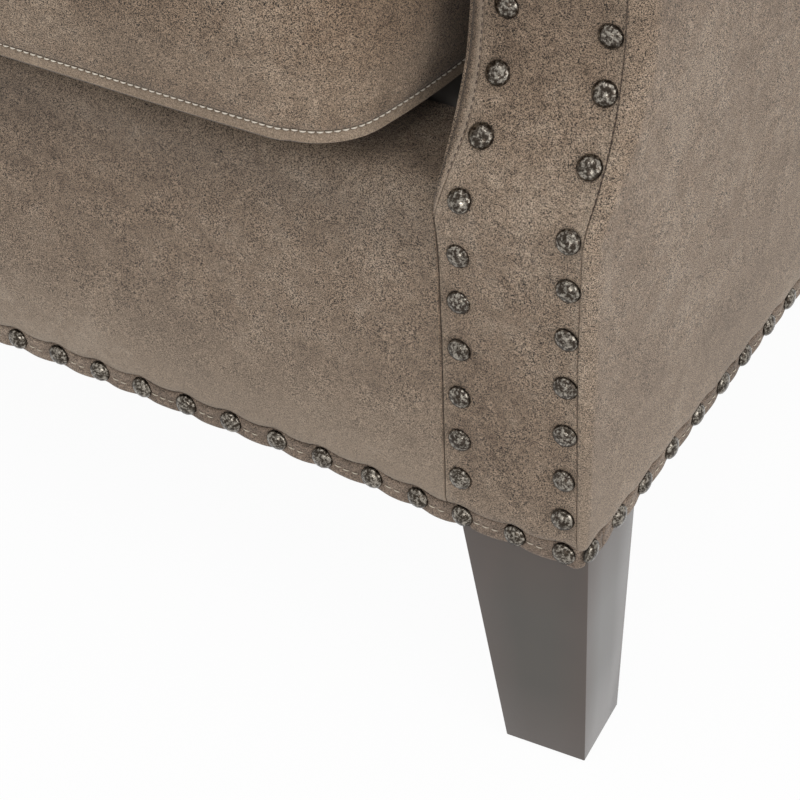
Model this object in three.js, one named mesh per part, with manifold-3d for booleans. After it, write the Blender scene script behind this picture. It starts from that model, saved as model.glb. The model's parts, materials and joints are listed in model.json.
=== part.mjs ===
// A wingback armchair: a timber frame on four tapered legs, sprung seat and webbed back,
// padded covers with a nailed base band, and a loose box cushion.
// Millimetres, +Z up, the front faces -Y. The origin is under the middle of the chair, on the floor.
import * as THREE from 'three';
import { mergeVertices } from 'three/addons/utils/BufferGeometryUtils.js';
import Module from 'manifold-3d';

const wasm = await Module();
wasm.setup();

// Whole chair. A rise is a height above the underside of the body.
const bodyWidth = 752; // across the outside arms, below the arm rolls
const bodyDepth = 645; // front face to outside back, at the foot of the body
const chairRise = 930; // to the top of the crest
const armRise = 502; // to the top of the arm roll
const deckRise = 177; // to the top of the seat deck
const backThickness = 97; // inside back to outside back, at the seat
const backRake = THREE.MathUtils.degToRad(10); // lean of the outside back
const insideRake = THREE.MathUtils.degToRad(12); // lean of the inside back
const clearance = 0.3; // between pieces that touch
const overrun = 30; // how far a cutter passes what it cuts

// Legs and their fixings
const legLength = 120;
const legTopWidth = 58;
const legTopDepth = 52;
const legFoot = 39; // square foot
const rearLegRake = 28; // how far the rear feet stand back
const frontLegTurn = THREE.MathUtils.degToRad(5); // screwed a little past square
const frontLegSetIn = 4.5; // of its top, from the body's corner
const frontLegKick = 2.5; // how far its foot stands forward of the body
const glideThickness = 2;
const glideRadius = 13;
const glidePinRadius = 1.5;
const glidePinLength = 10;
const boltRadius = 4;
const boltInLeg = 38;
const boltInPost = 30;
const insertRadius = 8;
const insertLength = 20;
const roundSides = 12;

// Timber frame. An inset is measured inwards from the flat outside arm.
const railThickness = 28;
const sideRailInset = 20.3;
const armPostDepth = 95;
const armPostWidth = 47.7;
const armRailHeight = 40;
const armRailSetback = 8; // of its inner face, from the post's
const backPostPad = 2.3; // cover outside the post, where the back is narrowest
const backPostDepth = 45;
const backPostDrop = 10; // top of the post, below the start of the crest's curve
const lowerBackRailGap = 3; // above the seat deck
const lowerBackRailHeight = 46;
const crestRailHeight = 75; // at the posts
const cornerBlockReach = 92;
const cornerBlockThickness = 36;
const cornerBlockLift = 12; // above the underside of the frame
const cornerBlockNose = 12;
const wingBoardThickness = 17.7;
const wingBoardMargin = 28; // padding in front of the board

// Springs and webbing
const wireDiameter = 3.8;
const wireSides = 5;
const springCount = 4;
const springPitch = 120;
const springSwing = 22; // half the width of the zigzag
const springLoops = 12;
const springEndMargin = 8;
const webThickness = 2;
const webWidth = 50;
const webOverlap = 5; // of the webbing on the posts
const webColumns = 3;
const webRows = 5;

// Covers with their padding
const sidePad = 12;
const frontPad = 12;
const rearPad = 8;
const cornerRadius = 6;
const deckThickness = 30;
const deckLip = 48; // depth of the front border's roll over the deck
const lipRadius = 14;
const dustThickness = 1;
const skirtGap = 0.7; // between the arm skirt and the deck

// Arm front panel, and the sweep above the seat rail
const panelInset = 7; // outer seam from the flat outside arm
const panelCover = 11; // inner seam past the arm post, at the foot
const panelWidening = 4; // of the panel, from the foot to the kink
const kinkOverDeck = 1; // where the sweep starts
const sweepRise = 75;
const sweepDepth = 40;
const panelEdge = 3; // rounding of the panel's front edges

// Arm roll and inside arm
const rollRadius = 50;
const rollInset = 29; // centre of the roll
const armBulge = 13; // how far the inside arm swells towards the cushion
const cushionSideGap = 4;

// Back and wings
const crestHeight = 60; // of the crest's curve
const crestTaper = 14; // how far the back narrows on each side by then
const crestPad = 40;
const crestEdge = 6; // inset of the outside back from the crest's outline
const backCrown = 14;
const backEdge = 22; // rounding of the inside back's edges
const lumbarRise = 420; // where the back swells most
const wingInset = 54; // inner face of the wing
const wingDepth = 305; // the wing's nose to the foot of the outside back
const wingNoseOverArm = 98;
const wingShoulderBack = 55; // where the wing meets the crest, behind the foot of the outside back
const wingFoot = 14;
const wingFlare = 10;

// Decorative nails, named for what they follow
const nailMargin = 1; // between a nail's edge and the edges of the band
const nailRise = 3; // of the domed head
const nailSides = 6;
const nailSink = 1.2; // of a head let into the band
const nailPanelSink = 2.4; // and into the panel's padding
const nailFromSeam = 6;
const nailFromInnerSeam = 7.5; // at the foot, from which that column runs plumb
const nailFootRise = 25.3; // lowest nail of the panel
const panelNailPitch = 25.6;
const frontNailPitch = 25.2;
const sideNailPitch = 26.2;
const nailFromSide = 11;
const nailFromFront = 7.7;

// Base band
const bandHeight = 12.6;
const bandThickness = 3;
const bandProud = 1.2;
const bandReturn = 20;

// Cushion
const cushionOverhang = 22; // past the front face, at the middle
const cushionBow = 7; // of the front edge
const cushionBoxing = 118;
const cushionBelly = 11; // lower seam above the deck
const cushionCrown = 30;
const cushionDrawIn = 4;
const cushionCorner = 38;
const cushionRearCorner = 24;
const cushionRearGap = 8;
const coverThickness = 3;
const zipMargin = 80; // between the zip and the sides of the cushion
const zipHeight = 24;
const zipThickness = 2;
const sliderLength = 12;
const sliderHeight = 9;
const sliderThickness = 3;
const sliderPullLength = 18;
const sliderPullThickness = 1.4;

// Heights and faces that follow from them
const half = bodyWidth / 2;
const legFootHeight = glideThickness + clearance;
const legTop = legFootHeight + legLength;
const bodyBottom = legTop + clearance;
const frameBottom = bodyBottom + dustThickness + 2 * clearance;
const chairTop = bodyBottom + chairRise;
const armTop = bodyBottom + armRise;
const deckTop = bodyBottom + deckRise;
const kinkHeight = deckTop + kinkOverDeck;
const sweepTop = kinkHeight + sweepRise;
const railTop = deckTop - deckThickness - wireDiameter - 2 * clearance;
const rollHeight = armTop - rollRadius;
const creaseHeight = rollHeight - Math.sqrt(rollRadius ** 2 - rollInset ** 2);
const armPostInner = sidePad + clearance + armPostWidth;
const panelFootInset = armPostInner + panelCover;
const panelKinkInset = panelFootInset + panelWidening;
const skirtInner = armPostInner + clearance;
const armInner = rollInset + rollRadius;
const armRailTop = creaseHeight + armRailHeight;
const seatDepth = bodyDepth - backThickness;
const skirtBottom = deckTop + skirtGap;
const postRear = bodyDepth - rearPad - clearance;
const postFront = postRear - backPostDepth;
const webFront = postFront - clearance - webThickness;
const backPostInset = crestTaper + backPostPad;
const postInner = armPostInner;
const crestStart = chairTop - crestHeight;
const postTop = crestStart - backPostDrop;
const wingNose = armTop + wingNoseOverArm;
const wingReach = bodyDepth - wingDepth;
const wingShoulder = bodyDepth + wingShoulderBack;
const bandSeat = bandThickness - bandProud + clearance;
const bandTop = bodyBottom + bandHeight + clearance;
const nailRadius = bandHeight / 2 - nailMargin;

// Curves that several pieces share
const rakeAt = (z) => (z - bodyBottom) * Math.tan(backRake);

function frontFace(z) {
  const share = THREE.MathUtils.clamp((z - kinkHeight) / sweepRise, 0, 1);
  return sweepDepth * (1 - (1 - share) ** 2);
}

const crestPowerShare = 3;

function crestTopAt(x) {
  const share = Math.min(Math.abs(x) / (half - crestTaper), 1);
  const rise = (1 - share ** crestPowerShare) ** (1 / crestPowerShare);
  return crestStart + (chairTop - crestStart) * rise;
}

// Half the width of the back, over its outer faces, at a height.
function backHalfAt(z) {
  const rise = Math.min((z - crestStart) / (chairTop - crestStart), 1);
  if (rise > 0) return (half - crestTaper) * (1 - rise ** crestPowerShare) ** (1 / crestPowerShare);
  return half - crestTaper * Math.max((z - armTop) / (crestStart - armTop), 0);
}

function wingFrontAt(z) {
  if (z < wingNose) return wingReach + wingFoot * ((wingNose - z) / (wingNose - armTop)) ** 2;
  const share = Math.min((z - wingNose) / (chairTop - wingNose), 1);
  return wingShoulder - (wingShoulder - wingReach) * Math.sqrt(1 - share ** 2);
}

function panelInnerAt(z) {
  const share = THREE.MathUtils.clamp((z - bodyBottom) / (kinkHeight - bodyBottom), 0, 1);
  const straight = panelFootInset + (panelKinkInset - panelFootInset) * share;
  if (z < kinkHeight) return straight;
  const narrowing = Math.min((z - kinkHeight) / (rollHeight - kinkHeight), 1);
  return straight + (armInner - panelInset - panelKinkInset) * narrowing;
}

// Geometry helpers
const range = (count) => Array.from({ length: count }, (_, i) => i);
const between = (from, to, share) => from + (to - from) * share;
const point = (x, y, z) => new THREE.Vector3(x, y, z);
const spread = (from, to, steps) => range(steps + 1).map((i) => between(from, to, i / steps));

// Points on an arc, from one angle to another in degrees, as [across, up] pairs.
function arc(across, up, radius, fromDeg, toDeg, steps) {
  return spread(fromDeg, toDeg, steps).map((deg) => {
    const angle = THREE.MathUtils.degToRad(deg);
    return [across + radius * Math.cos(angle), up + radius * Math.sin(angle)];
  });
}

// The ring seen along its own normal, for closing it. It is bent a little, because a triangulation
// skips the middle one of three points in line, which would leave the closed end with a slit.
const bendShare = 0.01;

function flattened(ring) {
  const normal = point(0, 0, 0);
  ring.forEach((p, i) => normal.add(point(0, 0, 0).crossVectors(p, ring[(i + 1) % ring.length])));
  const size = [Math.abs(normal.x), Math.abs(normal.y), Math.abs(normal.z)];
  const drop = size.indexOf(Math.max(...size));
  const kept = [0, 1, 2].filter((axis) => axis !== drop);
  const flat = ring.map((p) => kept.map((axis) => p.getComponent(axis)));
  const reach = Math.max(...flat.flat().map(Math.abs));
  return flat.map(([a, b]) => new THREE.Vector2(a + bendShare * b * b / reach, b + bendShare * a * a / reach));
}

// Triangles that close a ring, wound the way the ring runs.
function capFaces(ring) {
  const flat = flattened(ring);
  const along = Math.sign(THREE.ShapeUtils.area(flat));
  return THREE.ShapeUtils.triangulateShape(flat, []).map((face) => {
    const turn = Math.sign(THREE.ShapeUtils.area(face.map((i) => flat[i])));
    return turn === along ? face : [face[0], face[2], face[1]];
  });
}

// A closed skin over a row of rings that all have the same number of points.
function loft(rings) {
  const count = rings[0].length;
  const last = (rings.length - 1) * count;
  const faces = [];
  range(rings.length - 1).forEach((row) => range(count).forEach((i) => {
    const a = row * count + i;
    const b = row * count + (i + 1) % count;
    faces.push([a, b, b + count], [a, b + count, a + count]);
  }));
  capFaces(rings[0]).forEach(([a, b, c]) => faces.push([a, c, b]));
  capFaces(rings.at(-1)).forEach(([a, b, c]) => faces.push([last + a, last + b, last + c]));
  const points = rings.flat();
  const volume = faces.reduce((sum, [a, b, c]) => (
    sum + points[a].dot(point(0, 0, 0).crossVectors(points[b], points[c]))), 0);
  const geometry = new THREE.BufferGeometry().setFromPoints(points);
  geometry.setIndex(faces.flatMap(([a, b, c]) => (volume > 0 ? [a, b, c] : [a, c, b])));
  return geometry;
}

function solidOf(geometry) {
  const bare = new THREE.BufferGeometry();
  bare.setAttribute('position', geometry.getAttribute('position'));
  bare.setIndex(geometry.index);
  const merged = mergeVertices(bare);
  return new wasm.Manifold(new wasm.Mesh({
    numProp: 3,
    vertProperties: new Float32Array(merged.getAttribute('position').array),
    triVerts: new Uint32Array(merged.index.array),
  }));
}

function geometryOf(solid) {
  const mesh = solid.getMesh();
  const geometry = new THREE.BufferGeometry();
  geometry.setAttribute('position', new THREE.BufferAttribute(mesh.vertProperties, 3));
  geometry.setIndex(new THREE.BufferAttribute(mesh.triVerts, 1));
  return geometry;
}

function cut(geometry, cutters) {
  return geometryOf(cutters.reduce((left, cutter) => left.subtract(solidOf(cutter)), solidOf(geometry)));
}

function joined(geometry, others) {
  return geometryOf(others.reduce((left, other) => left.add(solidOf(other)), solidOf(geometry)));
}

// Leans a piece that was drawn upright back with the outside back.
function raked(geometry) {
  const lean = Math.tan(backRake);
  const shear = new THREE.Matrix4().makeShear(0, 0, 0, 0, 0, lean);
  return geometry.translate(0, 0, -bodyBottom).applyMatrix4(shear).translate(0, 0, bodyBottom);
}

// A box between two corners.
function block(x0, x1, y0, y1, z0, z1) {
  return new THREE.BoxGeometry(x1 - x0, y1 - y0, z1 - z0)
    .translate((x0 + x1) / 2, (y0 + y1) / 2, (z0 + z1) / 2);
}

function prism(outline, depth) {
  const shape = new THREE.Shape(outline.map(([a, b]) => new THREE.Vector2(a, b)));
  return new THREE.ExtrudeGeometry(shape, { depth, bevelEnabled: false, steps: 1 });
}

// A plate drawn from the side, as [y, z] points, standing between two insets on the right.
function sidePlate(outline, fromInset, toInset) {
  const turn = new THREE.Matrix4().makeBasis(point(0, 1, 0), point(0, 0, 1), point(1, 0, 0));
  return prism(outline, toInset - fromInset).applyMatrix4(turn).translate(half - toInset, 0, 0);
}

// A plate drawn from the front, as [x, z] points, between two distances from the front face.
function frontPlate(outline, fromY, toY) {
  return prism(outline, toY - fromY).rotateX(Math.PI / 2).translate(0, toY, 0);
}

// A round bar standing up, through which a smaller one may pass.
function upright(radius, z0, z1, x, y) {
  return new THREE.CylinderGeometry(radius, radius, z1 - z0, roundSides)
    .rotateX(Math.PI / 2).translate(x, y, (z0 + z1) / 2);
}

// Finishes
const finishes = {
  cover: { color: 0x85725f, roughness: 0.62, metalness: 0 },
  band: { color: 0x76634f, roughness: 0.65, metalness: 0 },
  timber: { color: 0xb08d62, roughness: 0.8, metalness: 0 },
  leg: { color: 0x4b4640, roughness: 0.35, metalness: 0 },
  steel: { color: 0x8d9094, roughness: 0.35, metalness: 1 },
  foam: { color: 0xe6dfc4, roughness: 0.95, metalness: 0 },
  webbing: { color: 0x3b3a37, roughness: 0.9, metalness: 0 },
  dust: { color: 0x1d1d1d, roughness: 0.95, metalness: 0 },
  plastic: { color: 0x2a2826, roughness: 0.5, metalness: 0 },
};

const chair = new THREE.Group();
const rightSide = new THREE.Group();
const leftSide = new THREE.Group();
leftSide.scale.x = -1;
chair.add(rightSide, leftSide);

function add(group, name, geometry, finish) {
  const mesh = new THREE.Mesh(geometry, new THREE.MeshStandardMaterial(finishes[finish]));
  mesh.name = name;
  group.add(mesh);
}

function addPair(name, geometry, finish) {
  add(rightSide, `${name}_right`, geometry, finish);
  add(leftSide, `${name}_left`, geometry, finish);
}

// Legs: they taper on their inner faces, and the front ones splay a little from under the body.
const rearPostMiddle = postFront + backPostDepth / 2;
const legBolts = {
  front: { x: half - frontLegSetIn - legTopWidth / 2, y: frontLegSetIn + legTopDepth / 2 },
  rear: { x: half - (backPostInset + postInner) / 2, y: rearPostMiddle },
};

function frontLeg() {
  const ring = (side, front, width, depth, z) => [
    point(side, front, z), point(side, front + depth, z),
    point(side - width, front + depth, z), point(side - width, front, z),
  ];
  return loft([
    ring(half, -frontLegKick, legFoot, legFoot, legFootHeight),
    ring(half - frontLegSetIn, frontLegSetIn, legTopWidth, legTopDepth, legTop),
  ]);
}

function rearLeg() {
  const backAt = (z) => postRear + rearLegRake * (legTop - z) / legLength;
  const ring = (width, depth, z) => [
    point(half, backAt(z), z), point(half, backAt(z) - depth, z),
    point(half - width, backAt(z) - depth, z), point(half - width, backAt(z), z),
  ];
  return loft([ring(legFoot, legFoot, legFootHeight), ring(legTopWidth, legTopDepth, legTop)]);
}

const glides = {
  front: { x: half - legFoot / 2, y: legFoot / 2 - frontLegKick },
  rear: { x: half - legFoot / 2, y: postRear + rearLegRake - legFoot / 2 },
};

function glide() {
  const profile = [
    [0, 0], [glideRadius, 0], [glideRadius, glideThickness], [glidePinRadius, glideThickness],
    [glidePinRadius, glidePinLength], [0, glidePinLength],
  ].map(([r, z]) => new THREE.Vector2(r, z));
  return new THREE.LatheGeometry(profile, roundSides).rotateX(Math.PI / 2);
}

// Turns a point of the front leg with the leg about its bolt.
function turned(place, bolt, angle) {
  const away = new THREE.Vector2(place.x - bolt.x, place.y - bolt.y).rotateAround(new THREE.Vector2(), angle);
  return { x: bolt.x + away.x, y: bolt.y + away.y };
}

function turnedAbout(geometry, bolt, angle) {
  return geometry.translate(-bolt.x, -bolt.y, 0).rotateZ(angle).translate(bolt.x, bolt.y, 0);
}

function addLeg(end, shape, turn) {
  const bolt = legBolts[end];
  const foot = turned(glides[end], bolt, turn);
  const holes = [
    upright(boltRadius + clearance, legTop - boltInLeg - clearance, legTop + overrun, bolt.x, bolt.y),
    upright(glidePinRadius + clearance, legFootHeight - overrun, glidePinLength + clearance, foot.x, foot.y),
  ];
  addPair(`leg_${end}`, cut(turnedAbout(shape, bolt, turn), holes), 'leg');
  addPair(`glide_${end}`, glide().translate(foot.x, foot.y, 0), 'plastic');
  addPair(
    `hanger_bolt_${end}`,
    upright(boltRadius, legTop - boltInLeg, frameBottom + boltInPost, bolt.x, bolt.y),
    'steel',
  );
  const insertTop = frameBottom + insertLength;
  const insert = upright(insertRadius, frameBottom, insertTop, bolt.x, bolt.y);
  const bore = upright(boltRadius + clearance, frameBottom - overrun, insertTop + overrun, bolt.x, bolt.y);
  addPair(`threaded_insert_${end}`, cut(insert, [bore]), 'steel');
}

addLeg('front', frontLeg(), frontLegTurn);
addLeg('rear', rearLeg(), 0);

// The stepped hole in a post's foot, for the insert and the end of the bolt.
function boltHole(end) {
  const { x, y } = legBolts[end];
  return [
    upright(insertRadius + clearance, frameBottom - overrun, frameBottom + insertLength + clearance, x, y),
    upright(boltRadius + clearance, frameBottom - overrun, frameBottom + boltInPost + clearance, x, y),
  ];
}

// Seat rails and posts
const sweepSteps = 6;
const sweepLevels = spread(kinkHeight, sweepTop, sweepSteps);
const armPostRear = frontPad + clearance + armPostDepth;
const postFrontAt = (z) => postFront + rakeAt(z);

function armPost() {
  const face = frontPad + clearance;
  const sweep = sweepLevels.map((z) => [face + frontFace(z), z]);
  const outline = [
    [face, frameBottom], ...sweep, [face + sweepDepth, armRailTop],
    [armPostRear, armRailTop], [armPostRear, frameBottom],
  ];
  return cut(sidePlate(outline, sidePad + clearance, armPostInner), boltHole('front'));
}

const backPost = cut(
  raked(block(half - postInner, half - backPostInset, postFront, postRear, frameBottom, postTop)),
  boltHole('rear'),
);

// A board on the side of the seat or arm, from the arm post to the leaning back post.
function sideRail(z0, z1, fromInset, toInset) {
  const rearAt = (z) => postFrontAt(z) - clearance;
  const front = armPostRear + clearance;
  return sidePlate([[front, z0], [rearAt(z0), z0], [rearAt(z1), z1], [front, z1]], fromInset, toInset);
}

addPair('arm_post', armPost(), 'timber');
addPair('back_post', backPost, 'timber');
addPair('side_rail', sideRail(frameBottom, railTop, sideRailInset, sideRailInset + railThickness), 'timber');
const armRailInner = armPostInner - armRailSetback;
addPair('arm_rail', sideRail(creaseHeight, armRailTop, sidePad + clearance, armRailInner), 'timber');

const frontRailRear = frontPad + clearance + railThickness;
const betweenArmPosts = half - armPostInner - clearance;
const betweenBackPosts = half - postInner - clearance;
const rearRailFront = postRear - railThickness;

add(
  chair,
  'front_rail',
  block(-betweenArmPosts, betweenArmPosts, frontPad + clearance, frontRailRear, frameBottom, railTop),
  'timber',
);

function backRail(bottom, top, front, rear) {
  return raked(block(-betweenBackPosts, betweenBackPosts, front, rear, bottom, top));
}

add(chair, 'rear_rail', backRail(frameBottom, railTop, rearRailFront, postRear), 'timber');
const lowerBackRail = deckTop + lowerBackRailGap;
add(
  chair,
  'lower_back_rail',
  backRail(lowerBackRail, lowerBackRail + lowerBackRailHeight, postFront, postFront + railThickness),
  'timber',
);

// The crest rail's top edge follows the crest under its padding.
function crestArch(reach, gap) {
  return spread(reach, -reach, 10).map((x) => [x, crestTopAt(x) - crestPad + gap]);
}

function crestRail() {
  const bottom = postTop - crestRailHeight;
  const outline = [[-betweenBackPosts, bottom], [betweenBackPosts, bottom], ...crestArch(betweenBackPosts, 0)];
  return raked(frontPlate(outline, postFront, postRear));
}

add(chair, 'crest_rail', crestRail(), 'timber');

// Corner blocks, notched round the posts
function cornerBlock(corner, insideSide, insideRail, reachY, z) {
  const alongRail = corner.x + cornerBlockReach;
  const alongSide = corner.y + reachY;
  const nose = Math.sign(reachY) * cornerBlockNose;
  const outline = [
    [corner.x, insideRail], [alongRail, insideRail], [alongRail, insideRail + nose],
    [insideSide + cornerBlockNose, alongSide], [insideSide, alongSide],
    [insideSide, corner.y], [corner.x, corner.y],
  ].map(([inset, y]) => [half - inset, y]);
  return prism(outline, cornerBlockThickness).translate(0, 0, z);
}

const blockBottom = frameBottom + cornerBlockLift;
const insideSideRail = sideRailInset + railThickness + clearance;
addPair('corner_block_front', cornerBlock(
  { x: armPostInner + clearance, y: armPostRear + clearance },
  insideSideRail,
  frontRailRear + clearance,
  cornerBlockReach / 2,
  blockBottom,
), 'timber');
addPair('corner_block_rear', cornerBlock(
  { x: postInner + clearance, y: postFrontAt(blockBottom) - clearance },
  insideSideRail,
  rearRailFront + rakeAt(blockBottom) - clearance,
  -cornerBlockReach / 2,
  blockBottom,
), 'timber');

// Wing boards stand on the arm rails, in front of the back posts.
function wingBoardOutline(gap) {
  const bottom = armRailTop + clearance - gap;
  const top = postTop + gap;
  const front = spread(bottom, top, 9).map((z) => [wingFrontAt(z) + wingBoardMargin - gap, z]);
  return [...front, [postFrontAt(top) - clearance, top], [postFrontAt(bottom) - clearance, bottom]];
}

function wingBoard(gap) {
  return sidePlate(wingBoardOutline(gap), backPostInset - gap, backPostInset + wingBoardThickness + gap);
}

addPair('wing_board', wingBoard(0), 'timber');

// Sinuous springs lie on the front and rear rails.
class SinuousPath extends THREE.Curve {
  constructor(x, y0, y1, z) {
    super();
    Object.assign(this, { x, y0, y1, z });
  }

  getPoint(share, target = new THREE.Vector3()) {
    const turn = share * springLoops * Math.PI;
    const loop = (this.y1 - this.y0) / springLoops;
    const overhangShare = 0.16;
    const y = between(this.y0, this.y1, share) - overhangShare * loop * Math.sin(2 * turn);
    return target.set(this.x + springSwing * Math.sin(turn), y, this.z);
  }
}

const springHeight = railTop + clearance + wireDiameter / 2;
const springFront = frontPad + clearance + springEndMargin;
const springRear = postRear + rakeAt(railTop) - springEndMargin;
const stepsPerLoop = 4;
range(springCount).forEach((i) => {
  const x = (i - (springCount - 1) / 2) * springPitch;
  const path = new SinuousPath(x, springFront, springRear, springHeight);
  const section = arc(0, 0, wireDiameter / 2, 0, 360 - 360 / wireSides, wireSides - 1)
    .map(([a, b]) => new THREE.Vector2(a, b));
  const options = { steps: springLoops * stepsPerLoop, extrudePath: path };
  add(chair, `seat_spring_${i + 1}`, new THREE.ExtrudeGeometry(new THREE.Shape(section), options), 'steel');
});

// Back webbing: straps across the posts, with straps up from the lower back rail to the crest rail
function backWebbing() {
  const bottom = lowerBackRail;
  const top = postTop - crestRailHeight / 2;
  const reach = half - postInner + webOverlap;
  const strap = (x0, x1, z0, z1) => solidOf(block(x0, x1, webFront, webFront + webThickness, z0, z1));
  const rows = range(webRows).map((i) => {
    const middle = between(bottom, top, (i + 1) / (webRows + 1));
    return strap(-reach, reach, middle - webWidth / 2, middle + webWidth / 2);
  });
  const columns = range(webColumns).map((i) => {
    const middle = between(-reach, reach, (i + 1) / (webColumns + 1));
    return strap(middle - webWidth / 2, middle + webWidth / 2, bottom, top);
  });
  return raked(geometryOf([...rows, ...columns].reduce((net, next) => net.add(next))));
}

add(chair, 'back_webbing', backWebbing(), 'webbing');

// Seat deck, from the front border's lip to the webbing
const lipRear = frontPad + deckLip;
const deckHalf = half - armPostInner - 2 * clearance;
const deckRear = postFrontAt(deckTop - deckThickness) - clearance;
add(
  chair,
  'seat_deck',
  block(-deckHalf, deckHalf, lipRear + clearance, deckRear, deckTop - deckThickness, deckTop),
  'webbing',
);

// Front border: up over the front rail and back onto the deck, its foot let in for the band
function frontBorder() {
  const lipBottom = deckTop - deckThickness;
  const roll = arc(lipRadius, deckTop - lipRadius, lipRadius, 180, 90, 4);
  const outline = [
    [bandSeat, bodyBottom], [bandSeat, bandTop], [0, bandTop], ...roll,
    [lipRear, deckTop], [lipRear, lipBottom], [frontPad, lipBottom], [frontPad, bodyBottom],
  ];
  const reachAt = (z) => half - panelInnerAt(z) - clearance;
  return loft([-1, 1].map((side) => outline.map(([y, z]) => point(side * reachAt(z), y, z))));
}

add(chair, 'front_border', frontBorder(), 'cover');

// Heights at which an upright cover is drawn, with how far its face is let in for the band
const bandLevels = [[bodyBottom, bandSeat], [bandTop, bandSeat], [bandTop, 0]];

// Arm front panel, keyhole-shaped round the roll
function armFrontPanel() {
  const radius = rollRadius - panelInset;
  const crease = rollHeight - Math.sqrt(radius ** 2 - (rollInset - panelInset) ** 2);
  const creaseDeg = THREE.MathUtils.radToDeg(Math.acos((rollInset - panelInset) / radius));
  const chordAt = (z) => Math.sqrt(Math.max(radius ** 2 - (z - rollHeight) ** 2, 0));
  const outerAt = (z) => (z < crease ? panelInset : rollInset - chordAt(z));
  const innerAt = (z) => (z < rollHeight ? panelInnerAt(z) : rollInset + chordAt(z));
  const below = arc(0, rollHeight, radius, -creaseDeg, 0, 5).slice(1).map(([, z]) => z);
  const above = arc(0, rollHeight, radius, 15, 80, 6).map(([, z]) => z);
  const plain = [...sweepLevels, crease, ...below, ...above].map((z) => [z, 0]);
  return loft([...bandLevels, ...plain].map(([z, seat]) => {
    const outer = half - outerAt(z);
    const inner = half - innerAt(z);
    const edge = Math.min(panelEdge, (outer - inner) / 4);
    const front = frontFace(z) + seat;
    const rear = frontFace(z) + frontPad;
    return [
      point(outer, rear, z), point(outer, front + edge, z), point(outer - edge, front, z),
      point(inner + edge, front, z), point(inner, front + edge, z), point(inner, rear, z),
    ];
  }));
}

// A nail's domed head at the origin, facing the front, with a stub that is let into what carries it
const nailShoulderShare = 0.85; // of its radius, where the dome turns over
const nailShoulderRiseShare = 0.55;

function nailHead(sink) {
  const shoulder = nailRadius * nailShoulderShare;
  const shoulderRise = nailRise * nailShoulderRiseShare;
  const stub = nailRadius + (nailRadius - shoulder) * sink / shoulderRise;
  const profile = [[0, -sink], [stub, -sink], [shoulder, shoulderRise], [0, nailRise]]
    .map(([r, rise]) => new THREE.Vector2(r, rise));
  return new THREE.LatheGeometry(profile, nailSides).rotateX(Math.PI);
}

// The nails' line inside the panel's seam: up the outer edge, round the roll and down the inner edge
const nailLineSteps = 40;

function panelNails() {
  const outer = panelInset + nailFromSeam;
  const inner = Math.min(panelFootInset - nailFromInnerSeam, rollInset + rollRadius - outer);
  const radius = inner - rollInset;
  const turn = Math.acos((rollInset - outer) / radius);
  const foot = bodyBottom + nailFootRise;
  const crease = rollHeight - radius * Math.sin(turn);
  const up = spread(foot, crease, nailLineSteps).slice(0, -1).map((z) => [outer, z]);
  const round = arc(rollInset, rollHeight, radius, 180 + THREE.MathUtils.radToDeg(turn), 0, nailLineSteps);
  const down = spread(rollHeight, foot, nailLineSteps).slice(1).map((z) => [inner, z]);
  const line = new THREE.CatmullRomCurve3(
    [...up, ...round, ...down].map(([inset, z]) => point(half - inset, frontFace(z), z)),
  );
  line.arcLengthDivisions = nailLineSteps ** 2;
  return line.getSpacedPoints(Math.round(line.getLength() / panelNailPitch)).map((place) => {
    const lean = frontFace(place.z + nailRadius) - frontFace(place.z - nailRadius);
    const tilt = Math.atan2(lean, 2 * nailRadius);
    return nailHead(nailPanelSink).rotateX(-tilt).translate(place.x, place.y, place.z);
  });
}

addPair('arm_front_panel', joined(armFrontPanel(), panelNails()), 'cover');

// Outside arm cover: a slab that turns the corner to the front panel's outer seam
const cornerSteps = 4;

function outsideArmPanel() {
  const levels = [...bandLevels, ...[...sweepLevels, creaseHeight - clearance].map((z) => [z, 0])];
  return loft(levels.map(([z, seat]) => {
    const rear = postRear + rakeAt(z);
    const lipRearFace = frontFace(z) + frontPad + clearance;
    const lipInner = panelInset - clearance;
    const corner = spread(0, 1, cornerSteps).map((share) => {
      const inset = between(seat, lipInner, share ** 2);
      const across = Math.max(cornerRadius - inset, 0);
      return [inset, frontFace(z) + cornerRadius - Math.sqrt((cornerRadius - seat) ** 2 - across ** 2)];
    });
    const outline = [
      [sidePad, rear], [seat, rear], ...corner, [lipInner, lipRearFace], [sidePad, lipRearFace],
    ];
    return outline.map(([inset, y]) => point(half - inset, y, z));
  }));
}

addPair('outside_arm_panel', outsideArmPanel(), 'cover');

// Space that the back's timber and webbing take inside the covers
function backFrameSpace() {
  const reach = half - backPostInset + clearance;
  const top = postTop + clearance;
  const outline = [
    [-reach, 0], [reach, 0], [reach, top], [betweenBackPosts, top],
    ...crestArch(betweenBackPosts, clearance), [-betweenBackPosts, top], [-reach, top],
  ];
  return raked(frontPlate(outline, webFront - clearance, bodyDepth + overrun));
}

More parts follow.
